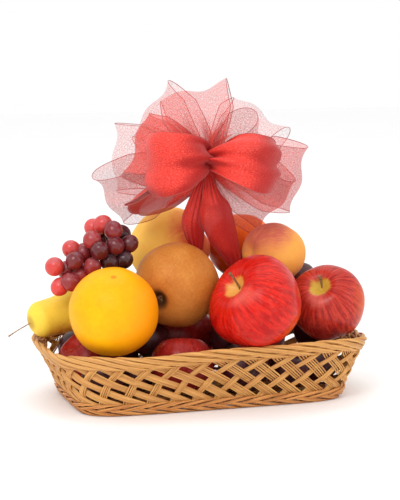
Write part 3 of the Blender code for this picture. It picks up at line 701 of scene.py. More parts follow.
def dipped_profile(width, height, kind):
    top_dip, top_spread, bottom_dip, bottom_spread, shoulder = KINDS[kind][:5]

    def profile(polar):
        reach = 1.0 - top_dip * np.exp(-((polar / top_spread) ** 2))
        reach = reach - bottom_dip * np.exp(-(((math.pi - polar) / bottom_spread) ** 2))
        swell = 1.0 + shoulder * np.cos(polar) * np.sin(polar) ** 2
        return 0.5 * width * reach * swell * np.sin(polar), 0.5 * height * reach * np.cos(polar)

    return profile


def pear_profile(length):
    def profile(polar):
        along = 0.5 * length * (1.0 - np.cos(polar))
        share = np.clip((along - PEAR_SWELL[0]) / (PEAR_SWELL[1] - PEAR_SWELL[0]), 0.0, 1.0)
        radius = 0.5 * (PEAR_NECK + (PEAR_WIDTH - PEAR_NECK) * share * share * (3.0 - 2.0 * share))
        for reach, rounding in ((along, PEAR_TIP_ROUND), (length - along, PEAR_BASE_ROUND)):
            radius = radius * np.sqrt(np.maximum(0.0, 1.0 - (1.0 - np.minimum(reach / rounding, 1.0)) ** 2))
        return radius, 0.5 * length - along

    return profile


def put_fruit(ball, shaped, placing):
    """Keeps a fruit's own coordinates for its skin pattern, and puts it in its place."""
    set_points(ball.data, shaped)
    write_values(ball.data, "skin", shaped)
    ball.data.transform(placing)
    select_only(ball)
    bpy.ops.object.shade_smooth()
    return ball


def orange_skin(name, light, deep, mark, painted_shade_tint, towards):
    look, tree, shader = new_material(name, Roughness=0.45, Specular_IOR_Level=0.16)
    skin = attribute(tree, "skin")
    base = mix_colours(tree, mottle_on(tree, skin, 30.0, 240.0), colour(deep), colour(light))
    # Painted shade: the side that faces the given way is tinted deeper, as if turned from the light.
    base = tinted(tree, base, blush_on(tree, skin, towards, 0.0, 1.0, 0.25), 0.8, painted_shade_tint)
    pores = speckle_on(tree, skin, 620.0, 0.42)
    base = tinted(tree, base, pores, 0.16, mark)
    base = tinted(tree, base, blush_on(tree, skin, STEM_END, 0.9965, 0.999, 0.001), 0.75, mark)
    height = calculate(tree, "SUBTRACT", cloud(tree, skin, 90.0, 2.0), pores)
    finish_skin(tree, shader, base, height, 0.22, 0.0004)
    return look


def russet_skin(name, light, deep, dot, pit):
    look, tree, shader = new_material(name, Roughness=0.50, Specular_IOR_Level=0.18)
    skin = attribute(tree, "skin")
    base = mix_colours(tree, mottle_on(tree, skin, 34.0, 420.0), colour(deep), colour(light))
    dots = speckle_on(tree, skin, 330.0, 0.24)
    base = tinted(tree, base, dots, 0.38, dot)
    # Near-black flower-end pit: partly the dried calyx's own dark colour, partly painted shade in the hollow.
    base = tinted(tree, base, blush_on(tree, skin, FLOWER_END, 0.940, 0.988, 0.02), 0.96, pit)
    height = calculate(tree, "ADD", cloud(tree, skin, 500.0, 3.0), dots)
    finish_skin(tree, shader, base, height, 0.16, 0.0003)
    return look


def apple_skin(name, red, deep, pale, cavity, edge, edge_side, edge_amount, painted_highlight_side):
    look, tree, shader = new_material(name, Roughness=0.28, Specular_IOR_Level=0.22)
    skin = attribute(tree, "skin")
    streaks, fine = meridians_on(tree, skin, 12.0), meridians_on(tree, skin, 40.0)
    blotch = mottle_on(tree, skin, 26.0, 120.0)
    base = mix_colours(tree, step_between(tree, streaks, 0.36, 0.66), colour(deep), colour(red))
    rosy = calculate(tree, "MULTIPLY", step_between(tree, fine, 0.44, 0.72), blotch)
    base = tinted(tree, base, rosy, 0.40, pale)
    spread = step_between(tree, blotch, 0.10, 0.60, 0.25, 1.0)
    for scale, size, amount in ((300.0, 0.16, 0.55), (620.0, 0.24, 0.30)):
        flecks = calculate(tree, "MULTIPLY", spread, speckle_on(tree, skin, scale, size))
        base = tinted(tree, base, flecks, amount, pale)
    base = tinted(tree, base, blush_on(tree, skin, edge_side, 0.72, 1.08, 0.35), edge_amount, edge)
    # Painted highlight: a pale patch in the fleck colour on one given side of the apple.
    base = tinted(tree, base, blush_on(tree, skin, painted_highlight_side, 0.92, 1.03, 0.14), 0.50, pale)
    rays = calculate(tree, "MULTIPLY_ADD", fine, 0.16, -0.08)
    bowl = blush_on(tree, skin, STEM_END, 0.90, 0.995, 0.10)
    hollow = step_between(tree, calculate(tree, "MULTIPLY_ADD", rays, 6.0, bowl), 0.25, 0.95)
    base = tinted(tree, base, hollow, 0.85, cavity)
    tree.links.new(step_between(tree, blotch, 0.0, 1.0, 0.24, 0.38), shader.inputs["Roughness"])
    finish_skin(tree, shader, base, cloud(tree, skin, 160.0, 3.0), 0.08, 0.0004)
    return look


def peach_skin(name, gold, blush, glow, blush_side, start, end):
    look, tree, shader = new_material(
        name, Roughness=0.75, Sheen_Weight=0.10, Sheen_Roughness=0.40, Specular_IOR_Level=0.12)
    skin = attribute(tree, "skin")
    base = mix_colours(tree, mottle_on(tree, skin, 44.0, 300.0), colour(gold), colour(glow))
    streaks = step_between(tree, meridians_on(tree, skin, 20.0), 0.25, 0.62, 0.55, 1.0)
    amount = calculate(tree, "MULTIPLY", blush_on(tree, skin, blush_side, start, end, 0.55), streaks)
    base = mix_colours(tree, amount, base, colour(blush))
    finish_skin(tree, shader, base, cloud(tree, skin, 1400.0, 2.0), 0.15, 0.0002)
    return look


def plum_skin(name, dark, red, dot):
    look, tree, shader = new_material(name, Roughness=0.36, Specular_IOR_Level=0.5)
    skin = attribute(tree, "skin")
    mottle = mottle_on(tree, skin, 60.0, 380.0)
    base = mix_colours(tree, mottle, colour(dark), colour(red))
    base = tinted(tree, base, speckle_on(tree, skin, 420.0, 0.18), 0.25, dot)
    tree.links.new(step_between(tree, mottle, 0.0, 1.0, 0.30, 0.48), shader.inputs["Roughness"])
    finish_skin(tree, shader, base, cloud(tree, skin, 200.0, 3.0), 0.06, 0.0004)
    return look


def pear_skin(name, yellow, green, brown, below):
    look, tree, shader = new_material(name, Roughness=0.45, Specular_IOR_Level=0.18)
    skin = attribute(tree, "skin")
    base = tinted(tree, colour(yellow), mottle_on(tree, skin, 38.0, 300.0), 0.55, green)
    base = tinted(tree, base, speckle_on(tree, skin, 380.0, 0.22), 0.40, brown)
    # Brown mottling, stronger towards the pear's underside.
    underside_mottle = calculate(tree, "MULTIPLY", blush_on(tree, skin, below, 0.35, 1.0, 0.6),
                       step_between(tree, cloud(tree, skin, 130.0, 4.0), 0.42, 0.66))
    base = tinted(tree, base, underside_mottle, 0.60, brown)
    base = tinted(tree, base, blush_on(tree, skin, STEM_END, 0.985, 0.9995, 0.008), 0.55, brown)
    finish_skin(tree, shader, base, cloud(tree, skin, 260.0, 3.0), 0.10, 0.0004)
    return look


def stem_wood(name, dark, light):
    look, tree, shader = new_material(name, Roughness=0.62)
    grain = cloud(tree, node(tree, "ShaderNodeTexCoord").outputs["Object"], 700.0, 3.0)
    base = mix_colours(tree, step_between(tree, grain, 0.35, 0.65), colour(dark), colour(light))
    finish_skin(tree, shader, base, grain, 0.4, 0.0004)
    return look


def bent_path(start, middle, end, share):
    """A bend from start to end, drawn towards the middle point."""
    path = np.outer((1.0 - share) ** 2, start) + np.outer(2.0 * share * (1.0 - share), middle)
    return path + np.outer(share ** 2, end)


def woody_stem(name, start, end, thick, bow_out, material, slot):
    """A stem bent a little to one side, thicker where it broke off the tree."""
    share = np.linspace(0.0, 1.0, 14)
    start, end = np.array(start), np.array(end)
    middle = 0.5 * (start + end) + np.array(bow_out)
    path = bent_path(start, middle, end, share)
    width = 1.0 + 0.55 * share ** 5 + 0.35 * (1.0 - share) ** 6
    stem = round_strands(name, [path], 0.5 * thick, 2, [width])
    return dress(stem, material, slot)


def fruit_placing(name):
    """Where a named fruit stands and which way its stem end points."""
    centre, axis = next((fruit[2], fruit[5]) for fruit in FRUITS if fruit[0] == name)
    return upright_to(axis, MIDDLE + Vector(centre))


def fruit_skins(look):
    """Every skin: by the fruit's name where it shows well, else by its kind."""
    place = {name: fruit_placing(name) for name in
             ("orange_front", "apple_front", "apple_right", "peach_right", "peach_back")}

    def side(name, *way):
        return seen_side(place[name], *way)

    return {
        "orange_front": orange_skin("orange_front_skin", look.orange_light, look.orange_deep,
                                    look.orange_mark, look.orange_painted_shade, side("orange_front", 1.0, -0.1, 0.15)),
        # The back orange takes painted shade, in its deep colour, towards its flower end, which is below.
        "orange_back": orange_skin("orange_back_skin", look.back_orange_light, look.back_orange_deep,
                                   look.orange_mark, look.back_orange_deep, FLOWER_END),
        "russet_pear": russet_skin("russet_pear_skin", look.russet_light, look.russet_deep, look.russet_dot,
                                   look.russet_pit_and_shade),
        "apple_front": apple_skin("apple_front_skin", look.apple_red, look.apple_deep, look.apple_flecks_and_highlight,
                                  look.apple_gold, look.apple_edge, side("apple_front", 0.85, -0.50, 0.10),
                                  0.80, side("apple_front", -0.40, 0.38, 0.83)),
        "apple_right": apple_skin("apple_right_skin", look.right_apple_red, look.right_apple_deep,
                                  look.right_apple_flecks_and_highlight, look.right_apple_gold, look.apple_edge,
                                  side("apple_right", 1.0, 0.05, 0.20), 0.70,
                                  side("apple_right", -0.35, 0.30, 0.88)),
        # Low apples: darker towards the flower end, with a painted highlight round the stem end.
        "apple": apple_skin("apple_skin", look.low_apple_red, look.low_apple_deep, look.apple_flecks_and_highlight,
                            look.low_apple_red, look.low_apple_deep, FLOWER_END, 0.80, STEM_END),
        "peach_right": peach_skin("peach_right_skin", look.peach_gold, look.peach_blush, look.peach_glow,
                                  side("peach_right", -0.35, 1.0, 0.35), 0.25, 0.95),
        "peach_back": peach_skin("peach_back_skin", look.back_peach_gold, look.back_peach_blush,
                                 look.back_peach_glow, side("peach_back", 1.0, 0.1, 0.3), 0.10, 0.75),
        "plum": plum_skin("plum_skin", look.plum_dark, look.plum_red, look.plum_dot),
    }


def build_fruit(look):
    wood = stem_wood("stem_wood", (0.11, 0.055, 0.02), (0.30, 0.17, 0.07))
    skins = fruit_skins(look)
    for number, (name, kind, centre, width, height, axis) in enumerate(FRUITS):
        lobes, uneven, fineness = KINDS[kind][5:]
        ball = start_ball(name + "_fruit", fineness)
        cleft = 0.045 if kind == "peach" else 0.012 if kind == "plum" else 0.0
        shaped = shape_fruit(ball, dipped_profile(width, height, kind), lobes, uneven, cleft, 1.7 * number)
        put_fruit(ball, shaped, fruit_placing(name))
        dress(ball, skins.get(name, skins.get(kind)), kind + "_skin", name)
        if name in APPLE_STEMS:
            reach, lean = APPLE_STEMS[name]
            up = Vector(axis).normalized()
            start = MIDDLE + Vector(centre) + up * (0.5 * height * (1.0 - KINDS[kind][0]) - STEM_SINK)
            end = start + (up + Vector(lean)).normalized() * (reach + 0.0015)
            woody_stem(name + "_stem", start, end, 0.0019, (0.0008, 0.0, 0.0015), wood, kind + "_skin")
    length = (PEAR_TIP - PEAR_BASE).length
    ball = start_ball("yellow_pear_fruit", 6)
    shaped = shape_fruit(ball, pear_profile(length), 0.0, 0.008, 0.0, 5.0)
    placing = upright_to(PEAR_TIP - PEAR_BASE, MIDDLE + (PEAR_TIP + PEAR_BASE) * 0.5)
    put_fruit(ball, shaped, placing)
    below = seen_side(placing, 0.1, -1.0, 0.25)
    dress(ball, pear_skin("yellow_pear_skin", look.pear_yellow, look.pear_green, look.pear_brown, below),
          "pear_skin", "yellow_pear")
    start = MIDDLE + PEAR_TIP + (PEAR_BASE - PEAR_TIP).normalized() * STEM_SINK
    light_wood = stem_wood("pear_stem_wood", (0.20, 0.10, 0.05), (0.46, 0.27, 0.16))
    woody_stem("yellow_pear_stem", start, MIDDLE + PEAR_STEM_END, 0.0011, (0.0, 0.0, 0.0012), light_wood,
               "pear_skin")
    build_calyx(wood)


def build_calyx(wood):
    """The dried flower end of the russet pear: a ring of small withered points in its pit."""
    name, kind, _, _, height, _ = FRUITS[2]
    placing = fruit_placing(name)
    floor = -0.5 * height * (1.0 - KINDS[kind][2]) + 0.0006
    share = np.linspace(0.0, 1.0, 7)
    paths, widths = [], []
    for point in range(9):
        turn = math.tau * point / 9.0
        reach = 0.0012 + 0.0042 * share
        lift = 0.0010 * np.sin(math.pi * share) + 0.0009 * share * math.cos(3.0 * turn)
        local = np.stack([reach * math.cos(turn + 0.3), reach * math.sin(turn + 0.3), floor - lift], axis=-1)
        paths.append(np.array([placing @ Vector(spot) for spot in local]))
        widths.append(1.0 - 0.7 * share)
    calyx = round_strands("russet_pear_calyx", paths, 0.0010, 1, widths)
    dress(calyx, wood, "russet_skin")


# The grape bunch

# Each grape: centre from the basket's middle, and how dark it is, from 0 to 1.
GRAPES = (
    (-0.082, 0.000, 0.158, 0.60), (-0.089, 0.012, 0.162, 0.15), (-0.095, 0.020, 0.158, 0.05),
    (-0.102, 0.000, 0.150, 0.35), (-0.097, -0.008, 0.141, 0.80), (-0.082, -0.006, 0.145, 0.75),
    (-0.067, 0.000, 0.145, 0.80), (-0.118, 0.014, 0.140, 0.15), (-0.119, -0.002, 0.132, 0.70),
    (-0.136, 0.006, 0.126, 0.10), (-0.124, -0.006, 0.113, 0.45), (-0.132, 0.002, 0.108, 0.00),
    (-0.103, -0.004, 0.126, 0.40), (-0.112, 0.004, 0.117, 0.35), (-0.073, -0.004, 0.131, 1.00),
    (-0.086, -0.002, 0.129, 0.90), (-0.107, 0.012, 0.137, 0.50), (-0.123, 0.014, 0.121, 0.40),
    (-0.070, 0.016, 0.152, 0.90), (-0.081, 0.024, 0.148, 0.80), (-0.101, 0.020, 0.127, 0.60),
    (-0.117, 0.018, 0.116, 0.50), (-0.078, 0.022, 0.133, 0.90),
)
GRAPE_RADIUS = 0.0086
GRAPE_STALK = (Vector((-0.0700, 0.0120, 0.1420)), Vector((-0.1240, 0.0080, 0.1200)))


def grape_material(name, pale, middle, dark, glow, powder_and_sheen):
    look, tree, shader = new_material(name, Roughness=0.26, Specular_IOR_Level=0.42)
    ripe = attribute(tree, "ripeness", "Fac")
    place = node(tree, "ShaderNodeTexCoord").outputs["Object"]
    lower = mix_colours(tree, step_between(tree, ripe, 0.0, 0.5), colour(pale), colour(middle))
    base = mix_colours(tree, step_between(tree, ripe, 0.45, 1.0), lower, colour(dark))
    rise = attribute(tree, "rise", "Fac")
    # Painted light: a red glow on the grape's lower side, stronger in paler grapes, stands in for light passing
    # through.
    thin = calculate(tree, "SUBTRACT", 0.95, ripe)
    painted_through_light = calculate(tree, "MULTIPLY", step_between(tree, rise, 0.1, -0.9), thin)
    base = tinted(tree, base, painted_through_light, 0.50, glow)
    # Bloom, the grape's own powder, laid only on its upper side: partly real bloom, partly a painted sheen
    # where light falls.
    bloom_and_painted_sheen = calculate(tree, "MULTIPLY", step_between(tree, cloud(tree, place, 170.0, 4.0), 0.38, 0.66),
                      step_between(tree, rise, -0.2, 0.8))
    base = tinted(tree, base, bloom_and_painted_sheen, 0.26, powder_and_sheen)
    tree.links.new(base, shader.inputs["Base Color"])
    tree.links.new(step_between(tree, bloom_and_painted_sheen, 0.0, 1.0, 0.18, 0.42), shader.inputs["Roughness"])
    return look


def build_grapes(look):
    rng = random.Random(5)
    grapes = []
    for number, (x, y, z, ripe) in enumerate(GRAPES):
        grape = start_ball("grape", 4)
        spots = points_of(grape.data)
        stretch = np.array((1.0, 1.0, rng.uniform(1.02, 1.14)))
        set_points(grape.data, spots * stretch * GRAPE_RADIUS * rng.uniform(0.95, 1.02))
        write_values(grape.data, "ripeness", np.full(len(spots), ripe))
        axis = (math.sin(number * 2.4), math.cos(number * 2.4), 0.8)
        centre = MIDDLE + Vector((x, y, z))
        grape.data.transform(upright_to(axis, centre))
        write_values(grape.data, "rise", (points_of(grape.data)[:, 2] - centre.z) / GRAPE_RADIUS)
        select_only(grape)
        bpy.ops.object.shade_smooth()
        grapes.append(grape)
    bunch = join(grapes, "grape_bunch")
    skin = grape_material("grape_skin", look.grape_pale, look.grape_middle, look.grape_dark, look.grape_painted_glow,
                          look.grape_bloom_and_sheen)
    dress(bunch, skin, "grape_skin", "grapes")
    start, end = (np.array(MIDDLE + spot) for spot in GRAPE_STALK)
    share = np.linspace(0.0, 1.0, 12)
    paths = [start + np.outer(share, end - start)]
    for x, y, z, _ in GRAPES:
        grape = np.array(MIDDLE + Vector((x, y, z)))
        near = np.clip(np.dot(grape - start, end - start) / np.dot(end - start, end - start) + 0.08, 0.0, 1.0)
        root = start + near * (end - start)
        middle = 0.5 * (root + grape) + np.array((0.0, 0.0, 0.002))
        paths.append(bent_path(root, middle, grape, share))
    wood = stem_wood("stalk_wood", (0.05, 0.03, 0.012), (0.16, 0.10, 0.04))
    dress(round_strands("grape_stalks", paths, 0.0007, 1), wood, "grape_skin")


# The bow

def bow_axes():
    """The bow's own right, up and forward directions; forward is the way that it faces."""
    forward = Vector((math.sin(BOW_TURN) * math.cos(BOW_TILT), -math.cos(BOW_TURN) * math.cos(BOW_TILT),
                      math.sin(BOW_TILT)))
    right = Vector((math.cos(BOW_TURN), math.sin(BOW_TURN), 0.0))
    return right, forward.cross(right), forward


BOW_RIGHT, BOW_UP, BOW_FORWARD = bow_axes()


# Each loop: where its far end lies from the knot (right, up, forward), the direction across the
# ribbon there, how far its two layers part, and how dense its cloth looks. The two loops that have
# stations in FRONT_LOOPS follow those, and take only their side and density from here.
LOOPS = (
    ((-0.014, 0.066, 0.004), (0.95, 0.24, 0.10), 0.036, 0.28),
    ((-0.054, 0.052, -0.022), (0.66, 0.66, 0.36), 0.030, 0.22),
    ((0.050, 0.046, -0.022), (0.62, -0.70, 0.36), 0.030, 0.17),
    ((-0.068, 0.017, -0.006), (0.18, 0.94, -0.20), 0.032, 0.55),
    ((-0.046, -0.006, 0.040), (-0.10, 0.97, 0.20), 0.040, 0.90),
    ((0.056, 0.000, 0.036), (-0.06, 0.97, 0.18), 0.042, 0.92),
    ((0.049, 0.026, 0.004), (-0.30, 0.42, 0.85), 0.031, 0.30),
    ((0.084, -0.016, -0.004), (0.10, 0.93, 0.35), 0.024, 0.42),
    ((0.064, -0.040, -0.032), (0.45, 0.62, 0.40), 0.026, 0.44),
    ((-0.094, -0.034, -0.012), (0.20, 0.72, 0.60), 0.026, 0.36),
    ((-0.088, 0.006, -0.020), (0.06, 0.97, 0.18), 0.030, 0.17),
    ((-0.072, -0.044, -0.006), (0.50, 0.45, 0.74), 0.013, 0.88),
)
# The two tails and the two large front loops face the front, so their two wired edges follow
# their own stations from the knot (right, up, forward), in millimetres. A loop runs out to its far
# end and back behind it; a tail hangs down. A tail's last value is how dense its cloth looks.
TAILS = (
    (((-2.5, -2.5, 5), (-4.5, -17, 7), (-6, -31, 4), (-6.5, -42, -1), (-7, -53.5, -6), (-2.5, -66.5, -13),
      (6.5, -81, -21), (21, -97.5, -30)),
     ((1, -2.5, 5), (5, -17, 6), (12, -30, 3), (18.5, -37.5, -2), (22.5, -49, -8), (25.5, -62, -15),
      (29, -79.5, -23), (32, -97.5, -31)), 0.94),
    (((-3.5, -2.5, 2), (-12, -19, 1), (-19.5, -36.5, -4), (-25, -52, -11), (-23, -65, -18),
      (-18.5, -74.5, -23)),
     ((-0.5, -3.5, 2), (-2.5, -21, 2), (-3.5, -38.5, -3), (-4.5, -54.5, -10), (-4.5, -69, -18),
      (-5.5, -80.5, -24)), 0.92),
)
FRONT_LOOPS = {
    4: (((-2.5, 5, 6), (-3.5, 14, 20), (-6, 19.5, 35), (-15, 22.5, 48), (-28, 24, 54), (-40, 25, 51),
         (-49, 25, 40), (-52.5, 24, 22), (-45, 20, 6), (-25, 13, -2), (-4.5, 4, 0)),
        ((-2.5, -4.5, 6), (-4.5, -11.5, 20), (-7, -19, 35), (-14, -24.5, 47), (-25, -29.5, 54),
         (-37, -33, 50), (-47, -33, 38), (-52, -31.5, 20), (-44, -25.5, 5), (-25, -13.5, -2), (-5.5, -2.5, 0))),
    5: (((-2.5, 3, 8), (4.5, 10.5, 22), (13.5, 17.5, 34), (24, 23, 43), (35, 24.5, 46), (47, 23, 42),
         (57, 20.5, 30), (61, 16, 14), (50, 11.5, 1), (25, 6, -6), (1, 1, -2)),
        ((-2.5, -3.5, 8), (2, -8, 26), (9, -12.5, 41), (18, -18, 50), (29, -24, 54), (41, -29, 51),
         (52, -30, 41), (56.5, -26, 24), (48, -19, 6), (25, -12, -4), (0, -4.5, -2))),
}
PICK_FOOT = Vector((0.0615, 0.0332, 0.0802))
LOOP_ROOT = 0.0020
LOOP_SPREAD = 1.5
# Folds across the cloth, and how far its edges wave, where it follows stations.
FRONT_FOLDS = 2.6
TAIL_FOLDS = 4.5
STATION_WAVE = 0.0008
MILLIMETRE = 0.001
# How soon the folds fade as the cloth opens out, in the front loops and in the tails.
FRONT_CALM = 1.6
TAIL_CALM = 20.0
# The light direction painted into the cloth, from the knot: right, up, forward; cloth turned away from it gets
# painted shade.
PAINTED_LIGHT_WAY = (-0.50, 0.45, 0.74)
# Strength of the cloth's painted glow.
CLOTH_PAINTED_GLOW = 0.24
LOOP_ROWS = 72
TAIL_ROWS = 36
ACROSS = 29


def through(points, share):
    """A smooth curve through evenly spaced points, read at each share of the way."""
    points = np.array(points, dtype=float)
    last = len(points) - 1
    place = share * last
    spot = np.clip(np.floor(place).astype(int), 0, last - 1)
    part = (place - spot)[:, None]
    before, here = points[np.maximum(spot - 1, 0)], points[spot]
    after, beyond = points[spot + 1], points[np.minimum(spot + 2, last)]
    return here + 0.5 * part * (after - before + part * (
        2.0 * before - 5.0 * here + 4.0 * after - beyond + part * (3.0 * (here - after) + beyond - before)))


def in_bow(points):
    """Places or directions in the bow's own directions, turned to the scene's."""
    axes = np.array([BOW_RIGHT, BOW_UP, BOW_FORWARD])
    return np.asarray(points, dtype=float) @ axes


def unit(vectors):
    return vectors / np.linalg.norm(vectors, axis=-1, keepdims=True)


def fold_across(count, phase, opened, width, spots, calm):
    """Folds across the gathered ribbon, deeper the less it opens, and how steep their sides are."""
    depth = 1.25 * width / (4.0 * count) * np.maximum(0.0, 1.0 - opened ** 2) ** calm
    first, second = math.tau * count, math.tau * count * 1.7
    folds = depth * (0.72 * np.sin(first * spots + phase) + 0.28 * np.sin(second * spots + 2.0 * phase))
    slope = depth * (0.72 * first * np.cos(first * spots + phase)
                     + 0.28 * second * np.cos(second * spots + 2.0 * phase)) / (width * opened)
    return folds, slope


def spread_ribbon(look, edges, count, rng, waves, swell, density, calm=0.5):
    """A grid of points between a stretch's two wired edges, how dense the cloth looks at each, and its painted
    shade.
    """
    width = look.ribbon_width
    centre = 0.5 * (edges[0] + edges[1])
    across = edges[1] - edges[0]
    opened = np.minimum(np.linalg.norm(across, axis=1, keepdims=True) / width, 1.0)
    level = unit(np.cross(unit(across), unit(np.gradient(centre, axis=0))))
    spots = np.linspace(-0.5, 0.5, ACROSS)[None, :]
    share = np.linspace(0.0, 1.0, len(centre))[:, None]
    folds, slope = fold_across(count, rng.uniform(0.0, math.tau), opened, width, spots, calm)
    free = np.clip(2.2 * (opened - 0.45), 0.0, 1.0)
    phase = rng.uniform(0.0, 1.0)
    wave = waves * free * (2.0 * spots) ** 2 * np.sin(
        math.tau * (rng.uniform(1.4, 2.2) * share + phase) + 1.3 * np.sign(spots))
    sag = 0.0024 * free * np.sin(math.tau * (1.4 * spots + phase) + 4.0 * share)
    rounded = swell * np.clip(4.0 * (opened - 0.10), 0.0, 1.0) * (1.0 - 4.0 * spots ** 2)
    lifted = (folds + wave + sag + rounded)[:, :, None]
    grid = centre[:, None, :] + across[:, None, :] * spots[:, :, None] + level[:, None, :] * lifted
    layers = np.sqrt(1.0 + slope ** 2) * (0.55 + 0.45 / np.maximum(opened, 0.2))
    return grid, 1.0 - (1.0 - density) ** np.clip(layers, 1.0, 6.0), paint_fold_shade(grid)


def paint_fold_shade(grid):
    """Painted shade on the cloth: deepest by the knot and where its face turns away from a fixed light
    direction.
    """
    face = unit(np.cross(np.gradient(grid, axis=1), np.gradient(grid, axis=0)) + 1e-12)
    face = face * np.sign(face @ np.array(BOW_FORWARD))[..., None]
    painted_light_share = step_smooth(face @ unit(in_bow(PAINTED_LIGHT_WAY)), 0.20, 0.85)
    near = np.linalg.norm(grid - np.array(MIDDLE + KNOT), axis=-1)
    return np.clip(1.0 - painted_light_share * step_smooth(near, 0.004, 0.022), 0.0, 1.0)


def step_smooth(value, low, high):
    share = np.clip((value - low) / (high - low), 0.0, 1.0)
    return share * share * (3.0 - 2.0 * share)


def edges_of(look, centre, across, opened):
    """The two wired edges of a stretch, from its middle line and how far it opens."""
    along = unit(np.gradient(centre, axis=0))
    lateral = unit(across - along * np.sum(across * along, axis=1, keepdims=True))
    half = 0.5 * look.ribbon_width * opened[:, None] * lateral
    return centre - half, centre + half


def loop_rows(look, number, reach, across, parting, density):
    """One loop of the bow, out from the knot and back to it."""
    rng = random.Random(100 + number)
    share = np.linspace(0.0, 1.0, LOOP_ROWS)
    knot = np.array(MIDDLE + KNOT)
    if number in FRONT_LOOPS:
        edges = [knot + MILLIMETRE * in_bow(through(edge, share)) for edge in FRONT_LOOPS[number]]
        swell = math.copysign(look.loop_swell, reach[0])
        return spread_ribbon(look, edges, FRONT_FOLDS, rng, STATION_WAVE, swell, density, FRONT_CALM)
    out = in_bow(reach)
    side = in_bow(across)
    side = unit(side - out * np.dot(side, out) / np.dot(out, out))
    normal = unit(np.cross(out, side))
    distance = (0.5 - 0.5 * np.cos(math.tau * share)) ** 0.8
    bulge = 0.5 * parting * np.sin(math.tau * share) + LOOP_ROOT * (1.0 - 2.0 * share)
    centre = knot + np.outer(distance, out) + np.outer(bulge, normal)
    turn = rng.uniform(-0.18, 0.18) * np.sin(math.tau * share) + rng.uniform(-0.12, 0.12)
    lateral = side * np.cos(turn)[:, None] + np.cross(side, unit(out)) * np.sin(turn)[:, None]
    opened = look.ribbon_gather + (1.0 - look.ribbon_gather) * np.minimum(1.0, distance * LOOP_SPREAD) ** 0.8
    count = look.pleats + rng.uniform(-0.6, 0.6)
    edges = edges_of(look, centre, lateral, opened)
    return spread_ribbon(look, edges, count, rng, look.edge_wave, 0.0, density)


def tail_rows(look, number, edges, density):
    """One tail, hanging from the knot and rounded towards the front."""
    share = np.linspace(0.0, 1.0, TAIL_ROWS)
    knot = np.array(MIDDLE + KNOT)
    edges = [knot + MILLIMETRE * in_bow(through(edge, share)) for edge in edges]
    rng = random.Random(200 + number)
    return spread_ribbon(look, edges, TAIL_FOLDS, rng, STATION_WAVE, -look.tail_swell, density, TAIL_CALM)


def ribbon_grid(look):
    """The whole ribbon as one grid of points: a tail, every loop in turn, and the other tail."""
    first = [part[::-1] for part in tail_rows(look, 0, TAILS[0][:2], TAILS[0][2])]
    blocks = [first] + [loop_rows(look, number, *loop) for number, loop in enumerate(LOOPS)]
    blocks.append(tail_rows(look, 1, TAILS[1][:2], TAILS[1][2]))
    return (np.concatenate(part) for part in zip(*blocks))


def organza_material(name, red, deep, lit):
    look, tree, shader = new_material(name, Roughness=0.50, Sheen_Weight=0.18, Sheen_Roughness=0.40,
                                      Specular_IOR_Level=0.22)
    place = node(tree, "ShaderNodeUVMap", uv_map="ribbon").outputs["UV"]
    cloth = attribute(tree, "cloth", "Fac")
    threads = cloud(tree, place, 860.0, 3.0, 0.75, (1.0, 0.6, 1.0))
    shimmer = cloud(tree, place, 150.0, 4.0, 0.6, (1.0, 0.35, 1.0))
    painted_fold_shade = attribute(tree, "deep", "Fac")
    base = mix_colours(tree, step_between(tree, shimmer, 0.25, 0.65, 0.72, 1.0), colour(deep), colour(red))
    # Painted shade from the deep attribute, then painted light on the threads of the faces left unshaded.
    base = tinted(tree, base, painted_fold_shade, 0.90, deep)
    painted_light_share = calculate(tree, "MULTIPLY", step_between(tree, threads, 0.46, 0.72),
                       step_between(tree, painted_fold_shade, 1.4, 0.0))
    base = tinted(tree, base, painted_light_share, 0.50, lit)
    finish_skin(tree, shader, base, threads, 0.55, 0.0010)
    # Painted light: the cloth glows a little on its own, lighter where thin and deep red where dense, in place
    # of light passing through it.
    glow = mix_colours(tree, cloth, colour(lit), colour(deep))
    tree.links.new(glow, shader.inputs["Emission Color"])
    shader.inputs["Emission Strength"].default_value = CLOTH_PAINTED_GLOW
    speck = calculate(tree, "SUBTRACT", threads, 0.5)
    room = calculate(tree, "SUBTRACT", 1.15, cloth)
    alpha = calculate(tree, "MULTIPLY_ADD", calculate(tree, "MULTIPLY", speck, 1.5), room, cloth)
    alpha = node(tree, "ShaderNodeClamp", {"Value": alpha, "Min": 0.05, "Max": 1.0}).outputs[0]
    tree.links.new(alpha, shader.inputs["Alpha"])
    return look


def wire_material(name, tint):
    look, tree, shader = new_material(name, Roughness=0.4, Sheen_Weight=0.2)
    place = node(tree, "ShaderNodeTexCoord").outputs["Object"]
    twist = cloud(tree, place, 900.0, 2.0)
    base = mix_colours(tree, twist, colour(tint), colour([0.55 * part for part in tint]))
    tree.links.new(base, shader.inputs["Base Color"])
    return look


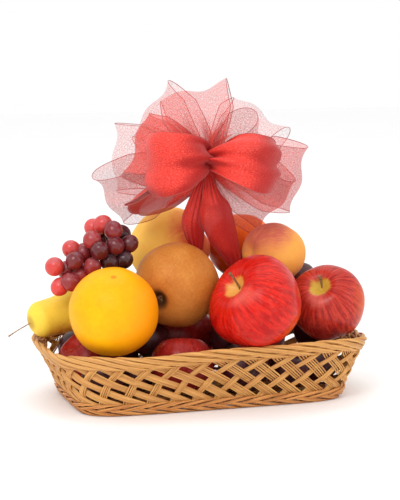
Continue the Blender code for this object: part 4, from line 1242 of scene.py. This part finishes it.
def build_bow(look):
    grid, dense, deep = ribbon_grid(look)
    rows, columns, _ = grid.shape
    middle = grid[:, columns // 2]
    steps = np.linalg.norm(np.diff(middle, axis=0), axis=1)
    length = np.concatenate([[0.0], np.cumsum(steps)])
    deselect()
    bpy.ops.mesh.primitive_grid_add(x_subdivisions=columns - 1, y_subdivisions=rows - 1, size=1.0)
    ribbon = bpy.context.active_object
    ribbon.name = "bow_ribbon"
    mesh = ribbon.data
    mesh.name = "bow_ribbon"
    set_points(mesh, grid.reshape(-1, 3))
    write_values(mesh, "cloth", dense.ravel())
    # The cloth's painted shade, read by the organza material.
    write_values(mesh, "deep", deep.ravel())
    across = np.tile(np.linspace(0.0, look.ribbon_width, columns), rows)
    down = np.repeat(length, columns)
    while mesh.uv_layers:
        mesh.uv_layers.remove(mesh.uv_layers[0])
    layer = mesh.uv_layers.new(name="ribbon")
    corners = np.empty(len(mesh.loops), dtype=int)
    mesh.loops.foreach_get("vertex_index", corners)
    layer.uv.foreach_set("vector", np.stack([across[corners], down[corners]], axis=-1).ravel())
    select_only(ribbon)
    bpy.ops.object.shade_smooth()
    cloth = organza_material("organza", look.ribbon_red, look.ribbon_deep_and_painted_shade, look.ribbon_lit)
    dress(ribbon, cloth, "ribbon", "bow")
    edges = [grid[:, 0], grid[:, -1]]
    wire = round_strands("bow_wire", edges, 0.5 * look.wire_diameter, 1)
    dress(wire, wire_material("ribbon_wire", look.wire_red), "ribbon")
    build_knot(look)


def build_knot(look):
    """The narrow binding that gathers the ribbon, and the pick below it."""
    centre = np.array(MIDDLE + KNOT)
    turns = np.linspace(0.0, 5.0 * math.tau, 120)
    radius = 0.0050 + 0.0006 * np.sin(3.0 * turns)
    forward, right, up = (np.array(way) for way in (BOW_FORWARD, BOW_RIGHT, BOW_UP))
    path = centre + np.outer(radius * np.cos(turns), forward) + np.outer(radius * np.sin(turns), right)
    path = path + np.outer(np.linspace(-0.0035, 0.0035, len(turns)), up)
    binding = round_strands("bow_binding", [path], 0.0009, 1)
    dress(binding, wire_material("binding_red", look.ribbon_deep_and_painted_shade), "ribbon")
    foot = MIDDLE + PICK_FOOT
    away = (foot - (MIDDLE + KNOT)).normalized()
    share = np.linspace(0.0, 1.0, 10)
    start = MIDDLE + KNOT + away * 0.0050
    path = np.array(start) + np.outer(share, np.array(foot - start))
    pick = round_strands("bow_pick_wood", [path], 0.0014, 2, [1.0 - 0.55 * share ** 6])
    dress(pick, stem_wood("pick_wood", (0.10, 0.06, 0.025), (0.26, 0.17, 0.08)), "pick_wood", "bow_pick")


# The stage

def build_stage(look):
    """A plain pale floor, soft studio light, and the camera at the photograph's angle."""
    deselect()
    bpy.ops.mesh.primitive_plane_add(size=8.0, location=(0.0, 0.0, 0.0))
    floor = bpy.context.active_object
    floor.name = "studio_floor"
    material, _, shader = new_material("studio_floor", Roughness=0.75, Specular_IOR_Level=0.2)
    shader.inputs["Base Color"].default_value = colour(look.floor_colour)
    floor.data.materials.append(material)
    scene = bpy.context.scene
    scene.view_settings.view_transform = "Standard"
    world = bpy.data.worlds.new("studio")
    scene.world = world
    world.use_nodes = True
    backdrop = world.node_tree.nodes["Background"].inputs
    backdrop["Color"].default_value = (1.0, 1.0, 1.0, 1.0)
    backdrop["Strength"].default_value = look.world_light
    for name, where, size, power in (
            ("key", (-0.95, -1.15, 1.45), 0.9, look.key_power),
            ("fill", (1.50, -0.90, 0.90), 1.2, look.fill_power),
            ("top", (0.10, 0.50, 1.90), 1.2, look.top_power)):
        deselect()
        bpy.ops.object.light_add(type="AREA", location=where)
        light = bpy.context.active_object
        light.name = name + "_light"
        light.data.size = size
        light.data.energy = power
        light.rotation_euler = (Vector(where) - MIDDLE - LIGHT_AIM).to_track_quat("Z", "Y").to_euler()
    level = math.cos(CAMERA_RISE)
    back = Vector((-math.sin(CAMERA_TURN) * level, -math.cos(CAMERA_TURN) * level, math.sin(CAMERA_RISE)))
    deselect()
    bpy.ops.object.camera_add(location=MIDDLE + CAMERA_AIM + back * CAMERA_DISTANCE)
    camera = bpy.context.active_object
    camera.rotation_euler = back.to_track_quat("Z", "Y").to_euler()
    camera.data.sensor_fit = "VERTICAL"
    camera.data.sensor_height = 36.0
    camera.data.lens = CAMERA_LENS
    scene.camera = camera


# The add-on

def shade(title, default, description=""):
    return bpy.props.FloatVectorProperty(
        name=title, description=description or title + " colour, linear", subtype="COLOR", size=3,
        min=0.0, max=1.0, default=default)


def length_setting(title, default, description):
    return bpy.props.FloatProperty(name=title, description=description, default=default, unit="LENGTH",
                                   subtype="DISTANCE", precision=4)


def number_setting(title, default, description, kind="NONE"):
    return bpy.props.FloatProperty(name=title, description=description, default=default, subtype=kind)


class FruitBasketLook(bpy.types.PropertyGroup):
    """Sizes and colours of the basket, its fruit and its bow."""
    reed_diameter: length_setting("Reed", 0.00155, "Diameter of one round reed")
    reeds_in_bundle: bpy.props.IntProperty(
        name="Reeds", description="Reeds side by side in a bundle", default=4)
    rim_sweep: number_setting("Rim sweep", 4.4, "How many bundles a strand runs past along the rim")
    reed_light: shade("Light reed", from_screen(224, 168, 92))
    reed_dark: shade("Dark reed", from_screen(190, 130, 66))
    foot_light: shade("Light foot reed", from_screen(220, 154, 82))
    foot_dark: shade("Dark foot reed", from_screen(174, 106, 48))
    orange_light: shade("Orange", from_screen(252, 184, 6))
    orange_deep: shade("Deep orange", from_screen(248, 166, 2))
    # Painted shade on the front orange's right side.
    orange_painted_shade: shade("Orange, right side", from_screen(244, 140, 2))
    orange_mark: shade("Orange pores", from_screen(206, 112, 10))
    back_orange_light: shade("Back orange", from_screen(240, 120, 40))
    back_orange_deep: shade("Deep back orange", from_screen(226, 96, 24))
    russet_light: shade("Russet", from_screen(210, 138, 62))
    russet_deep: shade("Deep russet", from_screen(186, 108, 40))
    russet_dot: shade("Russet dots", (0.80, 0.52, 0.24))
    russet_pit_and_shade: shade("Russet pit", (0.045, 0.020, 0.008))
    apple_red: shade("Red of the front apple", from_screen(218, 30, 14))
    apple_deep: shade("Deep red of the front apple", from_screen(174, 6, 4))
    apple_flecks_and_highlight: shade("Flecks and painted highlight on the front apple", from_screen(238, 112, 96))
    apple_gold: shade("Gold of the front apple", from_screen(232, 176, 84))
    apple_edge: shade("Olive side of the front apple", from_screen(222, 92, 24))
    low_apple_red: shade("Low apple red", from_screen(164, 32, 26))
    low_apple_deep: shade("Deep low apple red", from_screen(132, 22, 22))
    right_apple_red: shade("Right apple red", from_screen(198, 56, 38))
    right_apple_deep: shade("Deep right apple red", from_screen(144, 20, 20))
    right_apple_flecks_and_highlight: shade("Right apple flecks and painted highlight", from_screen(224, 112, 98))
    right_apple_gold: shade("Right apple gold", from_screen(206, 176, 66))
    peach_gold: shade("Peach gold", from_screen(238, 160, 70))
    peach_glow: shade("Peach glow", from_screen(240, 172, 84))
    peach_blush: shade("Peach blush", from_screen(200, 92, 84))
    back_peach_gold: shade("Back peach gold", from_screen(255, 192, 86))
    back_peach_glow: shade("Back peach glow", from_screen(255, 208, 98))
    back_peach_blush: shade("Back peach blush", from_screen(232, 104, 72))
    plum_dark: shade("Dark plum", from_screen(52, 20, 26))
    plum_red: shade("Red plum", from_screen(96, 30, 34))
    plum_dot: shade("Plum dots", (0.45, 0.22, 0.20))
    pear_yellow: shade("Pear yellow", from_screen(250, 214, 74))
    pear_green: shade("Pear green", from_screen(232, 194, 62))
    pear_brown: shade("Pear brown", from_screen(150, 104, 40))
    grape_pale: shade("Pale grape", from_screen(214, 66, 60))
    grape_middle: shade("Grape", from_screen(138, 38, 42))
    grape_painted_glow: shade("Grape glow", from_screen(222, 62, 50))
    grape_dark: shade("Dark grape", from_screen(54, 18, 24))
    grape_bloom_and_sheen: shade("Grape bloom and painted sheen", (0.36, 0.22, 0.26))
    ribbon_width: length_setting("Ribbon", 0.0635, "Width of the ribbon")
    ribbon_gather: number_setting("Gather", 0.15, "Share of its width that the knot gathers the ribbon to")
    pleats: number_setting("Pleats", 3.4, "Folds across the gathered ribbon")
    edge_wave: length_setting("Edge wave", 0.0028, "How far the wired edges wave")
    loop_swell: length_setting("Loop swell", 0.0060, "How far the front loops swell between their edges")
    tail_swell: length_setting("Tail swell", 0.0080, "How far the tails' cloth swells towards the front")
    wire_diameter: length_setting("Wire", 0.0006, "Diameter of the wired edge")
    ribbon_red: shade("Ribbon", from_screen(220, 50, 38))
    ribbon_deep_and_painted_shade: shade("Deep ribbon", from_screen(152, 14, 12))
    ribbon_lit: shade("Ribbon threads, painted lit tone and glow", from_screen(244, 132, 118))
    wire_red: shade("Wire", from_screen(186, 72, 64))
    floor_colour: shade("Floor", (0.97, 0.97, 0.97))
    world_light: number_setting("World", 1.0, "Strength of the light all round")
    key_power: number_setting("Key", 14.0, "Power of the key light", "POWER")
    fill_power: number_setting("Fill", 4.0, "Power of the fill light", "POWER")
    top_power: number_setting("Top", 5.0, "Power of the top light", "POWER")


class FRUITBASKET_OT_basket(bpy.types.Operator):
    """Weave the basket's wall, rim, foot border and floor"""
    bl_idname = "fruit_basket.weave"
    bl_label = "Weave Basket"

    def execute(self, context):
        build_basket(settings())
        return {"FINISHED"}


class FRUITBASKET_OT_fruit(bpy.types.Operator):
    """Shape the fruit and give each its skin and stem"""
    bl_idname = "fruit_basket.fruit"
    bl_label = "Add Fruit"

    def execute(self, context):
        build_fruit(settings())
        return {"FINISHED"}


class FRUITBASKET_OT_grapes(bpy.types.Operator):
    """Build the bunch of grapes on its stalks"""
    bl_idname = "fruit_basket.grapes"
    bl_label = "Add Grapes"

    def execute(self, context):
        build_grapes(settings())
        return {"FINISHED"}


class FRUITBASKET_OT_bow(bpy.types.Operator):
    """Gather the sheer ribbon into its bow"""
    bl_idname = "fruit_basket.bow"
    bl_label = "Tie Bow"

    def execute(self, context):
        build_bow(settings())
        return {"FINISHED"}


class FRUITBASKET_OT_stage(bpy.types.Operator):
    """Set the floor, the studio light and the camera"""
    bl_idname = "fruit_basket.stage"
    bl_label = "Set Stage"

    def execute(self, context):
        build_stage(settings())
        return {"FINISHED"}


class FRUITBASKET_PT_panel(bpy.types.Panel):
    """Lists the basket's settings and the operators that build it"""
    bl_label = "Fruit Gift Basket"
    bl_idname = "FRUITBASKET_PT_panel"
    bl_space_type = "VIEW_3D"
    bl_region_type = "UI"
    bl_category = "Basket"

    def draw(self, context):
        look = context.scene.fruit_basket_look
        for name in FruitBasketLook.__annotations__:
            self.layout.prop(look, name)
        for operator in OPERATORS:
            self.layout.operator(operator.bl_idname)


OPERATORS = (FRUITBASKET_OT_basket, FRUITBASKET_OT_fruit, FRUITBASKET_OT_grapes, FRUITBASKET_OT_bow,
             FRUITBASKET_OT_stage)
CLASSES = (FruitBasketLook, *OPERATORS, FRUITBASKET_PT_panel)


def register():
    for kind in CLASSES:
        bpy.utils.register_class(kind)
    bpy.types.Scene.fruit_basket_look = bpy.props.PointerProperty(type=FruitBasketLook)


def unregister():
    del bpy.types.Scene.fruit_basket_look
    for kind in reversed(CLASSES):
        bpy.utils.unregister_class(kind)


def main():
    register()
    bpy.ops.fruit_basket.weave()
    bpy.ops.fruit_basket.fruit()
    bpy.ops.fruit_basket.grapes()
    bpy.ops.fruit_basket.bow()
    bpy.ops.fruit_basket.stage()


if __name__ == "__main__":
    main()
